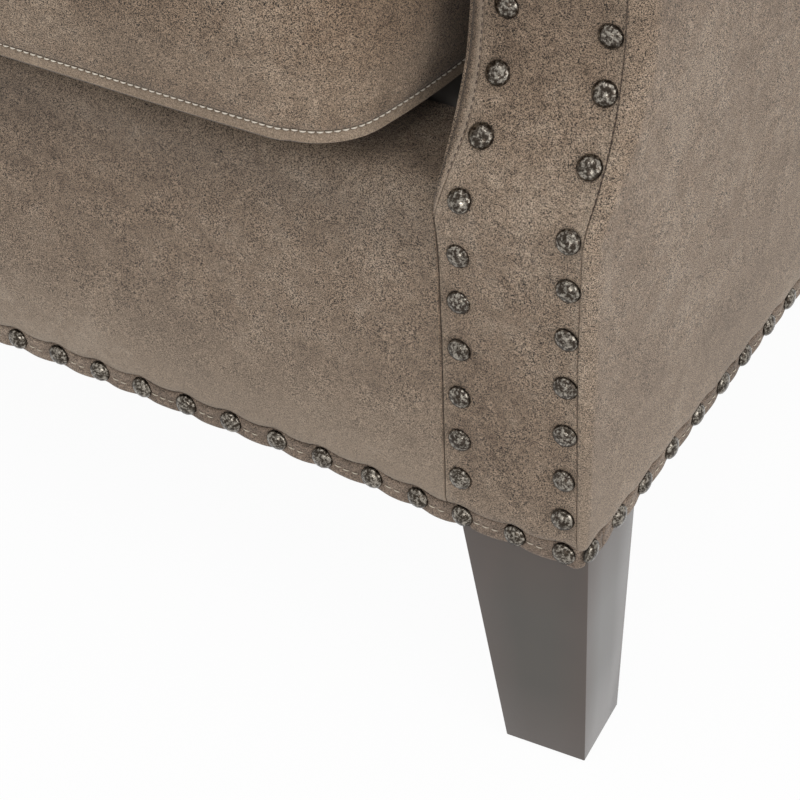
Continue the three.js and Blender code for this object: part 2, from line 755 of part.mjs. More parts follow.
// Inside arm and roll: one cover from the deck, over the roll and down to the crease
function armCoverRing(along, gap) {
  const swellShare = THREE.MathUtils.smoothstep(along, 0, 0.15);
  const innerAt = (z) => {
    const rise = (z - skirtBottom) / (rollHeight - skirtBottom);
    return armInner + armBulge * swellShare * (1 - THREE.MathUtils.smoothstep(rise, 0.35, 1));
  };
  const face = spread(skirtBottom, rollHeight, 6).slice(0, -1).map((z) => [innerAt(z) + gap, z]);
  const creaseDeg = 180 + THREE.MathUtils.radToDeg(Math.acos(rollInset / rollRadius));
  const roll = arc(rollInset, rollHeight, rollRadius + gap, 0, creaseDeg, 11);
  const outline = [
    [skirtInner - gap, skirtBottom - gap], [innerAt(skirtBottom) + gap, skirtBottom - gap],
    ...face.slice(1), ...roll,
    [sidePad - gap, creaseHeight - gap], [sidePad - gap, armRailTop + clearance - gap],
    [skirtInner - gap, armRailTop + clearance - gap],
  ];
  return outline.map(([inset, z]) => {
    const rear = postRear + rakeAt(z) + gap;
    return point(half - inset, between(frontPad, rear, along), z);
  });
}

// Space in front of the arm cover, taken by the swept front panel
function frontPanelSpace() {
  const sweep = sweepLevels.map((z) => [frontFace(z) + frontPad + clearance, z]);
  const front = -overrun;
  const outline = [
    [front, bodyBottom], [frontPad + clearance, bodyBottom], ...sweep,
    [sweepDepth + frontPad + clearance, chairTop], [front, chairTop],
  ];
  return sidePlate(outline, -rollRadius, armInner + rollRadius);
}

const armCover = (gap) => loft([0, 0.07, 0.15, 0.5, 1].map((along) => armCoverRing(along, gap)));
addPair('arm_cover', cut(armCover(0), [frontPanelSpace(), backFrameSpace(), wingBoard(clearance)]), 'cover');

// Wing cover, with a rounded front edge that flares outwards
function wingCover() {
  const bottom = armRailTop + skirtGap + clearance;
  const levels = [
    bottom, armTop, ...spread(wingNose, crestStart, 5), ...[0.15, 0.3, 0.45, 0.55, 0.62].map((share) => (
      between(crestStart, chairTop, share))),
  ];
  return loft(levels.map((z) => {
    const rear = postRear + rakeAt(z);
    const front = wingFrontAt(z);
    const outer = half - backHalfAt(z);
    const flare = wingFlare * Math.min((rear - front) / (postRear - wingReach), 1);
    const radius = (wingInset - outer) / 2;
    const nose = arc(outer + radius - flare, front + radius, radius, 0, -180, 6);
    const middle = between(front, rear, 0.5);
    const outline = [[wingInset, rear], [wingInset, middle], ...nose, [outer, middle], [outer, rear]];
    return outline.map(([inset, y]) => point(half - inset, y, z));
  }));
}

const wingSpaces = [armCover(clearance), backFrameSpace(), wingBoard(clearance)];
addPair('wing_cover', cut(wingCover(), wingSpaces), 'cover');

// Inside back: leans back from the seat, swells at the lumbar and rolls over the crest
const rollOverShares = [[0.06, 0.55], [0.22, 0.86], [0.5, 1], [0.8, 0.96], [1, 0.75]];

function insideBack() {
  const reach = half - wingInset - clearance;
  const sections = [-1, -0.94, -0.75, -0.4, 0, 0.4, 0.75, 0.94, 1];
  const seatTop = deckTop + cushionBelly + cushionBoxing;
  const lumbar = bodyBottom + lumbarRise;
  return loft(sections.map((share) => {
    const x = share * reach;
    const top = crestTopAt(x);
    const edgeBack = backEdge * Math.max((Math.abs(share) - 0.75) / 0.25, 0) ** 2;
    const frontAt = (z) => {
      const lean = Math.max(z - seatTop, 0) * Math.tan(insideRake);
      const swell = THREE.MathUtils.smoothstep(z, seatTop, lumbar) * (1 - share ** 2);
      return seatDepth + lean - backCrown * swell + edgeBack;
    };
    const rearAt = (z) => postRear + rakeAt(z);
    const faceTop = top - crestPad;
    const face = [skirtBottom, seatTop, ...spread(lumbar, faceTop, 4)].map((z) => [frontAt(z), z]);
    const rollOver = rollOverShares.map(([across, up]) => {
      const z = between(faceTop, top, up);
      return [between(frontAt(faceTop), rearAt(z), across), z];
    });
    return [...face, ...rollOver, [rearAt(skirtBottom), skirtBottom]].map(([y, z]) => point(x, y, z));
  }));
}

// The arms as cutters for the inside back, which fits round them
function armSpaces() {
  const right = armCover(clearance);
  const left = armCover(clearance).scale(-1, 1, 1);
  left.setIndex([...left.index.array].reverse());
  const skirtMiddle = half - (skirtInner + armInner) / 2;
  const rear = bodyDepth + rakeAt(chairTop) + overrun;
  const under = (x0, x1) => block(x0, x1, 0, rear, 0, Math.max(rollHeight, armRailTop) + clearance);
  return [right, left, under(skirtMiddle, half + rollRadius), under(-half - rollRadius, -skirtMiddle)];
}

add(chair, 'inside_back', cut(insideBack(), [backFrameSpace(), ...armSpaces()]), 'cover');

// Outside back cover: a leaning slab with the crest's outline, its foot let in for the band
function outsideBack() {
  const top = chairTop - crestEdge;
  const curve = [0, 0.3, 0.5, 0.68, 0.82, 0.92, 0.98].map((share) => [between(crestStart, top, share), 0]);
  const levels = [...bandLevels, [armTop, 0], ...curve];
  const rear = bodyDepth;
  return raked(loft(levels.map(([z, seat]) => {
    const inset = crestEdge * THREE.MathUtils.smoothstep(z, armTop, crestStart);
    const reach = backHalfAt(Math.min(z + inset, chairTop)) - seat - inset;
    const edge = rearPad / 4;
    const face = rear - seat;
    return [
      point(reach, rear - rearPad, z), point(reach, face - edge, z), point(reach - edge, face, z),
      point(edge - reach, face, z), point(-reach, face - edge, z), point(-reach, rear - rearPad, z),
    ];
  })));
}

add(chair, 'outside_back', outsideBack(), 'cover');

// Base band: the front strip turns both front corners, and three straight strips close the round.
function frontBand() {
  const outer = half + bandProud;
  const inner = outer - bandThickness;
  const outerRadius = cornerRadius + bandProud;
  const innerRadius = outerRadius - bandThickness;
  const run = (reach, front, radius) => {
    const right = [[reach, bandReturn], ...arc(reach - radius, front + radius, radius, 0, -90, 4)];
    return [...right, ...right.map(([x, y]) => [-x, y]).reverse()];
  };
  const outline = [
    ...run(outer, -bandProud, outerRadius), ...run(inner, bandThickness - bandProud, innerRadius).reverse(),
  ];
  return prism(outline, bandHeight).translate(0, 0, bodyBottom);
}

const bandTopEdge = bodyBottom + bandHeight;
const bandMiddle = bodyBottom + bandHeight / 2;
const rearBandFront = bodyDepth + bandProud - bandThickness;
const sideBandRear = rearBandFront - clearance;
const nailRow = (from, to, pitch) => spread(from, to, Math.round((to - from) / pitch));
const acrossRow = nailRow(nailFromSide - half, half - nailFromSide, frontNailPitch);
const [returnNailPlace, ...sideRow] = nailRow(nailFromFront, sideBandRear - nailFromSide, sideNailPitch);
const bandHalf = half + bandProud;
const bandRear = bodyDepth + bandProud;
const sideNail = (y) => nailHead(nailSink).rotateZ(Math.PI / 2).translate(bandHalf, y, bandMiddle);
const oppositeNail = (y) => nailHead(nailSink).rotateZ(-Math.PI / 2).translate(-bandHalf, y, bandMiddle);
const sideBand = block(
  bandHalf - bandThickness,
  bandHalf,
  bandReturn + clearance,
  sideBandRear,
  bodyBottom,
  bandTopEdge,
);
const rearBand = block(-bandHalf, bandHalf, rearBandFront, bandRear, bodyBottom, bandTopEdge);
add(chair, 'base_band_front', joined(frontBand(), [
  ...acrossRow.map((x) => nailHead(nailSink).translate(x, -bandProud, bandMiddle)),
  sideNail(returnNailPlace),
  oppositeNail(returnNailPlace),
]), 'band');
addPair('base_band', joined(sideBand, sideRow.map(sideNail)), 'band');
add(chair, 'base_band_rear', raked(joined(rearBand, acrossRow.map((x) => (
  nailHead(nailSink).rotateZ(Math.PI).translate(x, bandRear, bandMiddle))))), 'band');

// Dust sheet under the frame, inside the covers, with holes for the leg bolts
function dustSheet() {
  const reach = half - sidePad - clearance;
  const z0 = bodyBottom + clearance;
  const sheet = block(-reach, reach, frontPad + clearance, postRear, z0, z0 + dustThickness);
  const places = Object.values(legBolts).flatMap(({ x, y }) => [[x, y], [-x, y]]);
  return cut(sheet, places.map(([x, y]) => (
    upright(boltRadius + clearance, bodyBottom - overrun, frameBottom + overrun, x, y))));
}

add(chair, 'dust_sheet', dustSheet(), 'dust');

// Loose seat cushion: crowned top, boxed sides that draw in between the corners, bowed front
const cushionHalf = half - armInner - armBulge - cushionSideGap;
const cushionRear = seatDepth - cushionRearGap;
const zipLength = 2 * (cushionHalf - zipMargin);
const cushionLowSeam = deckTop + cushionBelly;
const cushionTopSeam = cushionLowSeam + cushionBoxing;
const cushionMiddle = (cushionRear + cushionBow - cushionOverhang) / 2;

// The cushion seen from above, drawn inwards by a share and an inset.
function cushionRing(scaleShare, inset, z) {
  const front = cushionBow - cushionOverhang;
  const sideSteps = 6;
  const bowAt = (x) => cushionBow * (1 - (x / cushionHalf) ** 2);
  const drawAt = (share) => cushionDrawIn * Math.sin(Math.PI * share);
  const frontRun = spread(cushionCorner - cushionHalf, cushionHalf - cushionCorner, sideSteps)
    .map((x) => [x, front - bowAt(x)]);
  const lowCorner = arc(cushionHalf - cushionCorner, front + cushionCorner, cushionCorner, -72, 0, 4);
  const rearCorner = cushionRear - cushionRearCorner;
  const run = spread(0, 1, sideSteps).slice(1, -1)
    .map((share) => [cushionHalf - drawAt(share), between(front + cushionCorner, rearCorner, share)]);
  const highCorner = arc(cushionHalf - cushionRearCorner, rearCorner, cushionRearCorner, 0, 90, 4);
  const right = [...lowCorner, ...run, ...highCorner];
  const outline = [...frontRun, ...right, ...right.map(([x, y]) => [-x, y]).reverse()];
  return outline.map(([x, y]) => {
    const across = x * (cushionHalf - inset) / cushionHalf;
    const along = (y - cushionMiddle) * (cushionRear - cushionMiddle - inset) / (cushionRear - cushionMiddle);
    return point(across * scaleShare, cushionMiddle + along * scaleShare, z);
  });
}

function cushionSolid(inset) {
  const bottom = deckTop + clearance + inset;
  const lowSeam = cushionLowSeam + inset;
  const topSeam = cushionTopSeam - inset;
  const under = [[0.7, 0], [0.86, 0], [0.95, 0.3], [1, 1]]
    .map(([share, up]) => cushionRing(share, inset, between(bottom, lowSeam, up)));
  const over = [1, 0.985, 0.94, 0.85, 0.7, 0.5, 0.25]
    .map((share) => cushionRing(share, inset, topSeam + cushionCrown * (1 - share ** 3)));
  return loft([...under, ...over]);
}

function zipWindow(gap) {
  const middle = (cushionLowSeam + cushionTopSeam) / 2;
  const z0 = middle - zipHeight / 2 - gap;
  return block(
    -zipLength / 2 - gap,
    zipLength / 2 + gap,
    cushionRear - zipThickness - (gap && overrun / 2),
    cushionRear + (gap && overrun / 2),
    z0,
    z0 + zipHeight + 2 * gap,
  );
}

const cushion = new THREE.Group();
chair.add(cushion);
add(cushion, 'cushion_core', cushionSolid(coverThickness + clearance), 'foam');
const cushionHollow = [cushionSolid(coverThickness), zipWindow(clearance)];
add(cushion, 'cushion_cover', cut(cushionSolid(0), cushionHollow), 'cover');
add(cushion, 'zip_tape', zipWindow(0), 'webbing');

// Zip slider, closed at the right-hand end, with its pull hanging on the tape
function zipSlider() {
  const middle = (cushionLowSeam + cushionTopSeam) / 2;
  const x = (sliderLength - zipLength) / 2;
  const near = cushionRear + clearance;
  const body = block(
    x - sliderLength / 2,
    x + sliderLength / 2,
    near,
    near + sliderThickness,
    middle - sliderHeight / 2,
    middle + sliderHeight / 2,
  );
  const pull = block(
    x - sliderHeight / 4,
    x + sliderHeight / 4,
    near + sliderThickness - sliderPullThickness,
    near + sliderThickness,
    middle - sliderHeight / 2 - sliderPullLength,
    middle,
  );
  return geometryOf(solidOf(body).add(solidOf(pull)));
}

add(cushion, 'zip_slider', zipSlider(), 'steel');

// Puts the origin on the floor under the middle of the chair's box.
const box = new THREE.Box3().setFromObject(chair);
chair.position.set(-(box.min.x + box.max.x) / 2, -(box.min.y + box.max.y) / 2, -box.min.z);

export default chair;
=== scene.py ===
"""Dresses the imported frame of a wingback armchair: nailed covers in distressed suede, a loose box
cushion, tapered painted legs, and the timber, springs and webbing inside.

Metres, +Z up, the front faces -Y. An inset is measured inwards from the flat outside arm, and a
depth backwards from the front face.
"""
from __future__ import annotations

import json
import logging
import math
from dataclasses import dataclass
from enum import Enum
from typing import Callable, Iterable, Optional, Sequence

import bmesh
import bpy
import numpy as np
from mathutils import Matrix, Vector, noise

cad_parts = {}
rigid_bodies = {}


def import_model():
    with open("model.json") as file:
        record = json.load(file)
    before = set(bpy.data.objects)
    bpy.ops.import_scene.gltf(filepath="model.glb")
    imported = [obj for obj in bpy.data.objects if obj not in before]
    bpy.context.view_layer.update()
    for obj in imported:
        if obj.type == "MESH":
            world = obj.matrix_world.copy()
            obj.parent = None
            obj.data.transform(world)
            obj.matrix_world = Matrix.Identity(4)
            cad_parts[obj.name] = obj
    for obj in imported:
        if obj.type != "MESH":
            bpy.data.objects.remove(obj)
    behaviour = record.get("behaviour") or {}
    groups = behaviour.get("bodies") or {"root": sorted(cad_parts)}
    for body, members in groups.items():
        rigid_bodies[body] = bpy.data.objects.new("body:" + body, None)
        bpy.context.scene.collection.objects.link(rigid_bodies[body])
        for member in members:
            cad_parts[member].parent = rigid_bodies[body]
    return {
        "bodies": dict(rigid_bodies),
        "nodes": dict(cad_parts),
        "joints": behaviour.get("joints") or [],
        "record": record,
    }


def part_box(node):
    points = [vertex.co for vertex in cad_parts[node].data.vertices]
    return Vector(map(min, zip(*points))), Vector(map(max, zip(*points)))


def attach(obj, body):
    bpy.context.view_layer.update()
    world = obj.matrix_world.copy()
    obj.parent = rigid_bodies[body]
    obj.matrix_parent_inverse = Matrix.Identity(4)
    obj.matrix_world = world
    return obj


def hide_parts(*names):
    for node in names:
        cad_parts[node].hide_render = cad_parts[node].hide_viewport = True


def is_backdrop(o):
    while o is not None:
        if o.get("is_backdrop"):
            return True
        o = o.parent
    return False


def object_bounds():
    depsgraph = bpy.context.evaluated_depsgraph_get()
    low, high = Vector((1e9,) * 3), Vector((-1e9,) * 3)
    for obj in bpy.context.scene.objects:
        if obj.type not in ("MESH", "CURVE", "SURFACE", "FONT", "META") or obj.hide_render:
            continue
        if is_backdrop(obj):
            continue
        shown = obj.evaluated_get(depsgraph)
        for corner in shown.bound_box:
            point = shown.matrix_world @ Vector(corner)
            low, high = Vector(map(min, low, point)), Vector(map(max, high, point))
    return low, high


LOG = logging.getLogger("armchair")
MM = 0.001

Array = np.ndarray
Surface = Callable[[Array, Array], Array]
Relief = Callable[[Array, Array, Array], Array]
Edge = Sequence[tuple[float, float]]
Stations = tuple[Array, Array]
Row = tuple[float, ...]  # millimetres
Curve = tuple[tuple[float, float], ...]  # millimetres over the kink, and millimetres of inset


def smoothstep(value: Array, low: float, high: float) -> Array:
    """An easing from 0 at low to 1 at high."""
    share = np.clip((value - low) / (high - low), 0, 1)
    return share * share * (3 - 2 * share)


def between(start: Array, end: Array, share: Array) -> Array:
    """The value that lies a share of the way from start to end."""
    return start + (end - start) * share


class Side(Enum):
    """The chair's two sides, as a sitter names them from the front view's right and left."""

    RIGHT = 1
    LEFT = -1

    @property
    def word(self) -> str:
        """The word that ends a node's name on this side."""
        return self.name.lower()


# Shader maths


class Signal:
    """A node's output socket, on which shader sums are written as Python expressions."""

    def __init__(self, graph: "Graph", socket: bpy.types.NodeSocket) -> None:
        """Wraps a socket of a graph's node."""
        self.graph = graph
        self.socket = socket

    def _maths(self, operation: str, first: object, second: object) -> "Signal":
        """Adds one Math node and returns what it gives."""
        return self.graph.node("ShaderNodeMath", {"operation": operation}, {0: first, 1: second}).out(0)

    def __add__(self, other: object) -> "Signal":
        """The sum of two signals."""
        return self._maths("ADD", self, other)

    __radd__ = __add__

    def __sub__(self, other: object) -> "Signal":
        """This signal less another."""
        return self._maths("SUBTRACT", self, other)

    def __rsub__(self, other: object) -> "Signal":
        """Another value less this signal."""
        return self._maths("SUBTRACT", other, self)

    def __mul__(self, other: object) -> "Signal":
        """The product of two signals."""
        return self._maths("MULTIPLY", self, other)

    __rmul__ = __mul__

    def above(self, low: float, high: float) -> "Signal":
        """A mask that climbs from 0 at low to 1 at high."""
        settings = {"interpolation_type": "SMOOTHSTEP"}
        return self.graph.node("ShaderNodeMapRange", settings, {0: self, 1: low, 2: high}).out(0)

    def clamped(self) -> "Signal":
        """This signal held between 0 and 1."""
        return self.graph.node("ShaderNodeClamp", {}, {0: self}).out(0)


class Placed:
    """A node that is in a graph, with its outputs as signals."""

    def __init__(self, graph: "Graph", made: bpy.types.Node) -> None:
        """Wraps a node of a graph."""
        self.graph = graph
        self.made = made

    def out(self, key: int | str) -> Signal:
        """The output of that name or number."""
        return Signal(self.graph, self.made.outputs[key])


class Graph:
    """The nodes of one material or world."""

    def __init__(self, tree: bpy.types.NodeTree) -> None:
        """Empties a node tree, to build in it."""
        self.tree = tree
        tree.nodes.clear()

    def node(self, kind: str, settings: dict[str, object], sockets: dict[int | str, object]) -> Placed:
        """Adds a node.

        Args:
            kind: The node's type.
            settings: Its properties, set before its sockets.
            sockets: Values or signals for its inputs, by name or number.

        Returns:
            The node that was added.
        """
        made = self.tree.nodes.new(kind)
        for name, value in settings.items():
            setattr(made, name, value)
        for key, value in sockets.items():
            if isinstance(value, Signal):
                self.tree.links.new(value.socket, made.inputs[key])
            else:
                made.inputs[key].default_value = value
        return Placed(self, made)

    def place(self) -> Signal:
        """Object coordinates, in metres."""
        return self.node("ShaderNodeTexCoord", {}, {}).out("Object")

    def stretched(self, scale: tuple[float, float, float]) -> Signal:
        """Object coordinates, scaled along each axis."""
        return self.node("ShaderNodeMapping", {}, {"Vector": self.place(), "Scale": scale}).out(0)

    def noise(self, at: Signal, scale: float, detail: float = 2.0, roughness: float = 0.5,
              distortion: float = 0.0) -> Signal:
        """A cloudy pattern of about scale patches to the metre."""
        sockets = {"Vector": at, "Scale": scale, "Detail": detail, "Roughness": roughness,
                   "Distortion": distortion}
        return self.node("ShaderNodeTexNoise", {}, sockets).out("Fac")

    def cells(self, at: Signal, scale: float) -> Signal:
        """Distance in a pattern of cells, of about scale cells to the metre."""
        return self.node("ShaderNodeTexVoronoi", {}, {"Vector": at, "Scale": scale}).out("Distance")

    def attribute(self, name: str) -> Signal:
        """A number that a mesh holds at its points."""
        return self.node("ShaderNodeAttribute", {"attribute_name": name}, {}).out("Fac")

    def blend(self, mask: object, first: object, second: object) -> Signal:
        """Two colours mixed by a mask."""
        first, second = (ink if isinstance(ink, Signal) else (*ink, 1.0) for ink in (first, second))
        sockets = {"Factor": mask, 6: first, 7: second}
        return self.node("ShaderNodeMix", {"data_type": "RGBA"}, sockets).out(2)

    def bump(self, height: Signal, distance: float, strength: float) -> Signal:
        """A normal tilted by a height pattern."""
        sockets = {"Height": height, "Distance": distance, "Strength": strength}
        return self.node("ShaderNodeBump", {}, sockets).out(0)

    def surface(self, shader: Signal) -> None:
        """Ends the graph in a shader."""
        self.node("ShaderNodeOutputMaterial", {}, {"Surface": shader})


Colour = tuple[float, float, float]


def toned(tone: Colour, share: float) -> Colour:
    """A colour made darker or lighter by a share."""
    return tuple(share * part for part in tone)


@dataclass(frozen=True)
class Finish:
    """A finish, which makes its material once."""

    name: str

    def material(self) -> bpy.types.Material:
        """The finish's material, made when it is first asked for."""
        found = bpy.data.materials.get(self.name)
        if found is not None:
            return found
        made = bpy.data.materials.new(self.name)
        made.use_nodes = True
        self.draw(Graph(made.node_tree))
        return made

    def draw(self, graph: Graph) -> None:
        """Builds the finish's nodes."""
        raise NotImplementedError

    def shade(self, graph: Graph, **sockets: object) -> None:
        """Ends a graph in a Principled shader with these sockets, whose names have _ for a space."""
        named = {key.replace("_", " "): value for key, value in sockets.items()}
        graph.surface(graph.node("ShaderNodeBsdfPrincipled", {}, named).out(0))


@dataclass(frozen=True)
class DistressedSuede(Finish):
    """A brushed, printed suede cloth: soft clouds, short crackled marks and a fine nap."""

    shade_tone: Colour = (0.120, 0.084, 0.057)
    body_tone: Colour = (0.178, 0.129, 0.090)
    rubbed_tone: Colour = (0.280, 0.220, 0.165)
    cloud_scale: float = 9.0
    patch_scale: float = 60.0
    nap_scale: float = 2500.0
    contrast: float = 3.0

    def draw(self, graph: Graph) -> None:
        """Builds the suede's nodes."""
        at = graph.place()
        clouds = graph.noise(at, self.cloud_scale, 3.0, 0.55, 0.6)
        patches = graph.noise(at, self.patch_scale, 4.0, 0.62, 0.8)
        mottle = graph.noise(at, self.patch_scale * 4, 3.0, 0.65, 0.3)
        nap = graph.noise(at, self.nap_scale, 1.0, 0.6)
        marks = graph.noise(graph.stretched((1.0, 1.0, 1.5)), self.nap_scale * 0.42, 2.0, 0.6, 0.4)
        worn = graph.attribute("worn")
        tucked = graph.attribute("tucked")
        tone = clouds * 0.4 + patches * 0.32 + mottle * 0.28
        # The rubbed tone follows random patches and the worn mark, so it also carries painted highlights.
        rubbed = (tone.above(0.47, 0.64) * 0.55 + worn * 0.7).clamped()
        low = graph.blend(tone.above(0.36, 0.50), self.shade_tone, self.body_tone)
        plain = graph.blend(rubbed, low, self.rubbed_tone)
        grain = nap.above(0.34, 0.66) * 0.7 + marks.above(0.34, 0.64) * 0.3 - 0.5
        lively = grain * self.contrast * (1 - worn * 0.75) + 1
        # The tucked mark darkens the cloth by up to 68 %: painted shade in seams, creases and under the cushion.
        depth = (lively * 0.5).clamped() * 2 * (1 - 0.68 * tucked)
        shaded = graph.node("ShaderNodeVectorMath", {"operation": "SCALE"}, {0: plain, "Scale": depth})
        height = nap * 0.5 + marks * 0.7 + mottle * 0.25
        self.shade(
            graph,
            Base_Color=shaded.out(0),
            Roughness=0.78 - rubbed * 0.16,
            Specular_IOR_Level=0.3,
            Sheen_Weight=0.1,
            Sheen_Roughness=0.5,
            Normal=graph.bump(height, 0.45 * MM, 0.5),
        )


@dataclass(frozen=True)
class Thread(Finish):
    """Twisted sewing thread."""

    tone: Colour = (0.62, 0.54, 0.43)

    def draw(self, graph: Graph) -> None:
        """Builds the thread's nodes."""
        fibres = graph.noise(graph.place(), 2600.0, 2.0, 0.6)
        self.shade(
            graph,
            Base_Color=graph.blend(fibres, toned(self.tone, 0.55), self.tone),
            Roughness=0.55 + fibres * 0.2,
            Normal=graph.bump(fibres, 0.1 * MM, 0.5),
        )


@dataclass(frozen=True)
class HammeredPewter(Finish):
    """Antiqued pewter, bright on its high spots and dark in its dents."""

    bright: Colour = (0.36, 0.325, 0.275)
    aged: Colour = (0.040, 0.031, 0.023)
    dent: Colour = (0.010, 0.008, 0.006)

    def draw(self, graph: Graph) -> None:
        """Builds the pewter's nodes."""
        at = graph.place()
        dents = graph.cells(at, 900.0)
        stain = graph.noise(at, 620.0, 4.0, 0.7)
        specks = graph.noise(at, 2300.0, 2.0, 0.6)
        # tucked darkens the nail's rim: a painted contact shadow, with some dark patina.
        rim = graph.attribute("tucked")
        aged = graph.blend(stain.above(0.36, 0.56), self.bright, self.aged)
        dark = (dents.above(0.5, 0.85) * 0.25 + specks.above(0.55, 0.66) * 0.4 + rim).clamped()
        self.shade(
            graph,
            Base_Color=graph.blend(dark, aged, self.dent),
            Metallic=0.92 - rim * 0.3,
            Roughness=(0.14 + stain * 0.16 + dark * 0.2).clamped(),
            Normal=graph.bump(dents * 0.8 + specks * 0.3, 0.15 * MM, 0.45),
        )


@dataclass(frozen=True)
class PaintedWood(Finish):
    """Warm grey satin paint on a sanded leg, with the grain faintly through it."""

    tone: Colour = (0.034, 0.027, 0.018)
    edge: Colour = (0.060, 0.034, 0.024)

    def draw(self, graph: Graph) -> None:
        """Builds the paint's nodes."""
        along = graph.stretched((1.0, 1.0, 0.06))
        grain = graph.noise(along, 260.0, 4.0, 0.6, 0.2)
        haze = graph.noise(graph.place(), 24.0, 3.0, 0.5)
        worn = graph.attribute("worn")
        paint = graph.blend(haze.above(0.35, 0.65), toned(self.tone, 0.8), self.tone)
        self.shade(
            graph,
            Base_Color=graph.blend(worn * 0.6 + grain * 0.1, paint, self.edge),
            Roughness=0.34 + haze * 0.12,
            Coat_Weight=0.75,
            Coat_Roughness=0.25,
            Normal=graph.bump(grain + haze * 0.3, 0.08 * MM, 0.12),
        )


@dataclass(frozen=True)
class SawnTimber(Finish):
    """Sawn hardwood with growth rings and open grain."""

    pale: Colour = (0.56, 0.39, 0.22)
    dark: Colour = (0.30, 0.18, 0.09)

    def draw(self, graph: Graph) -> None:
        """Builds the timber's nodes."""
        along = graph.stretched((1.0, 0.12, 0.25))
        rings = graph.noise(along, 46.0, 3.0, 0.55, 1.2)
        pores = graph.noise(along, 520.0, 3.0, 0.7)
        mask = (rings.above(0.35, 0.65) * 0.7 + pores * 0.3).clamped()
        self.shade(
            graph,
            Base_Color=graph.blend(mask, self.pale, self.dark),
            Roughness=0.62 + pores * 0.2,
            Normal=graph.bump(pores, 0.3 * MM, 0.35),
        )


@dataclass(frozen=True)
class DrawnSteel(Finish):
    """Drawn steel wire and turned fixings, lightly oiled."""

    tone: Colour = (0.42, 0.43, 0.44)

    def draw(self, graph: Graph) -> None:
        """Builds the steel's nodes."""
        stain = graph.noise(graph.place(), 90.0, 3.0, 0.6)
        lines = graph.noise(graph.stretched((1.0, 1.0, 6.0)), 420.0, 2.0, 0.6)
        self.shade(
            graph,
            Base_Color=graph.blend(stain.above(0.45, 0.7), self.tone, toned(self.tone, 0.5)),
            Metallic=1.0,
            Roughness=0.28 + stain * 0.25,
            Normal=graph.bump(lines, 0.05 * MM, 0.3),
        )


@dataclass(frozen=True)
class WovenCloth(Finish):
    """A plain weave whose threads run along the cloth's own two directions."""

    warp: Colour = (0.050, 0.048, 0.045)
    weft: Colour = (0.085, 0.081, 0.075)
    threads: float = 900.0  # to the metre

    def draw(self, graph: Graph) -> None:
        """Builds the weave's nodes."""
        at = graph.place()
        split = graph.node("ShaderNodeSeparateXYZ", {}, {0: at})
        turn = math.pi * self.threads  # two threads to a full wave
        across = graph.node("ShaderNodeMath", {"operation": "SINE"}, {0: split.out(0) * turn}).out(0)
        rows = split.out(1) + split.out(2)
        along = graph.node("ShaderNodeMath", {"operation": "SINE"}, {0: rows * turn}).out(0)
        weave = across * along * 0.5 + 0.5
        fuzz = graph.noise(at, 900.0, 3.0, 0.6)
        self.shade(
            graph,
            Base_Color=graph.blend((weave * 0.7 + fuzz * 0.4).clamped(), self.warp, self.weft),
            Roughness=0.85 + fuzz * 0.1,
            Normal=graph.bump(weave, 0.25 * MM, 0.6),
        )


@dataclass(frozen=True)
class OpenFoam(Finish):
    """Cut upholstery foam with open cells."""

    tone: Colour = (0.78, 0.70, 0.50)

    def draw(self, graph: Graph) -> None:
        """Builds the foam's nodes."""
        at = graph.place()
        cells = graph.cells(at, 900.0)
        haze = graph.noise(at, 12.0, 3.0, 0.5)
        self.shade(
            graph,
            Base_Color=graph.blend((cells * 0.8 + haze * 0.4).clamped(), toned(self.tone, 0.72), self.tone),
            Roughness=0.92 - haze * 0.05,
            Normal=graph.bump(cells, 0.3 * MM, 0.5),
        )


@dataclass(frozen=True)
class MouldedNylon(Finish):
    """Moulded nylon, faintly pebbled."""

    tone: Colour = (0.021, 0.019, 0.018)

    def draw(self, graph: Graph) -> None:
        """Builds the nylon's nodes."""
        pebble = graph.noise(graph.place(), 1400.0, 2.0, 0.6)
        scuff = graph.noise(graph.place(), 130.0, 3.0, 0.6)
        self.shade(
            graph,
            Base_Color=graph.blend(scuff.above(0.5, 0.7), self.tone, toned(self.tone, 2.2)),
            Roughness=0.42 + scuff * 0.2,
            Normal=graph.bump(pebble, 0.06 * MM, 0.4),
        )


SUEDE = DistressedSuede("distressed_suede")
CUSHION_SUEDE = DistressedSuede(
    "cushion_suede",
    shade_tone=(0.112, 0.076, 0.049),
    body_tone=(0.160, 0.112, 0.075),
    rubbed_tone=(0.270, 0.207, 0.150),
    contrast=3.3,
)
BAND_SUEDE = DistressedSuede(
    "band_suede",
    shade_tone=(0.085, 0.060, 0.043),
    body_tone=(0.150, 0.108, 0.079),
    rubbed_tone=(0.30, 0.235, 0.18),
    patch_scale=90.0,
    contrast=2.2,
)
TAN_THREAD = Thread("tan_thread")
PALE_THREAD = Thread("pale_thread", tone=(0.86, 0.78, 0.66))
DARK_THREAD = Thread("seam_thread", tone=(0.045, 0.025, 0.018))
PEWTER = HammeredPewter("hammered_pewter")
LEG_PAINT = PaintedWood("leg_paint")
TIMBER = SawnTimber("sawn_timber")
STEEL = DrawnSteel("drawn_steel")
WEBBING = WovenCloth("jute_webbing", warp=(0.045, 0.043, 0.040), weft=(0.10, 0.095, 0.085), threads=620.0)
DECK_CLOTH = WovenCloth("deck_cloth", warp=(0.007, 0.006, 0.005), weft=(0.014, 0.012, 0.010))
DUST_CLOTH = WovenCloth("dust_cloth", warp=(0.012, 0.012, 0.012), weft=(0.03, 0.03, 0.03), threads=1300.0)
FOAM = OpenFoam("cut_foam")
NYLON = MouldedNylon("moulded_nylon")


# Mesh helpers


def turned_edge(radius: float, turn_in: float) -> Edge:
    """Places across an edge that rolls over and is turned into a seam, from its end inside the seam."""
    roll = [
        (radius * (1 - math.cos(angle)), radius * (1 - math.sin(angle)))
        for angle in np.radians([0, 20, 40, 60, 78, 90])
    ]
    return [(0.0, radius + turn_in), (0.0, radius + turn_in / 2), *roll]


RAW_EDGE: Edge = ((0.0, 0.0),)


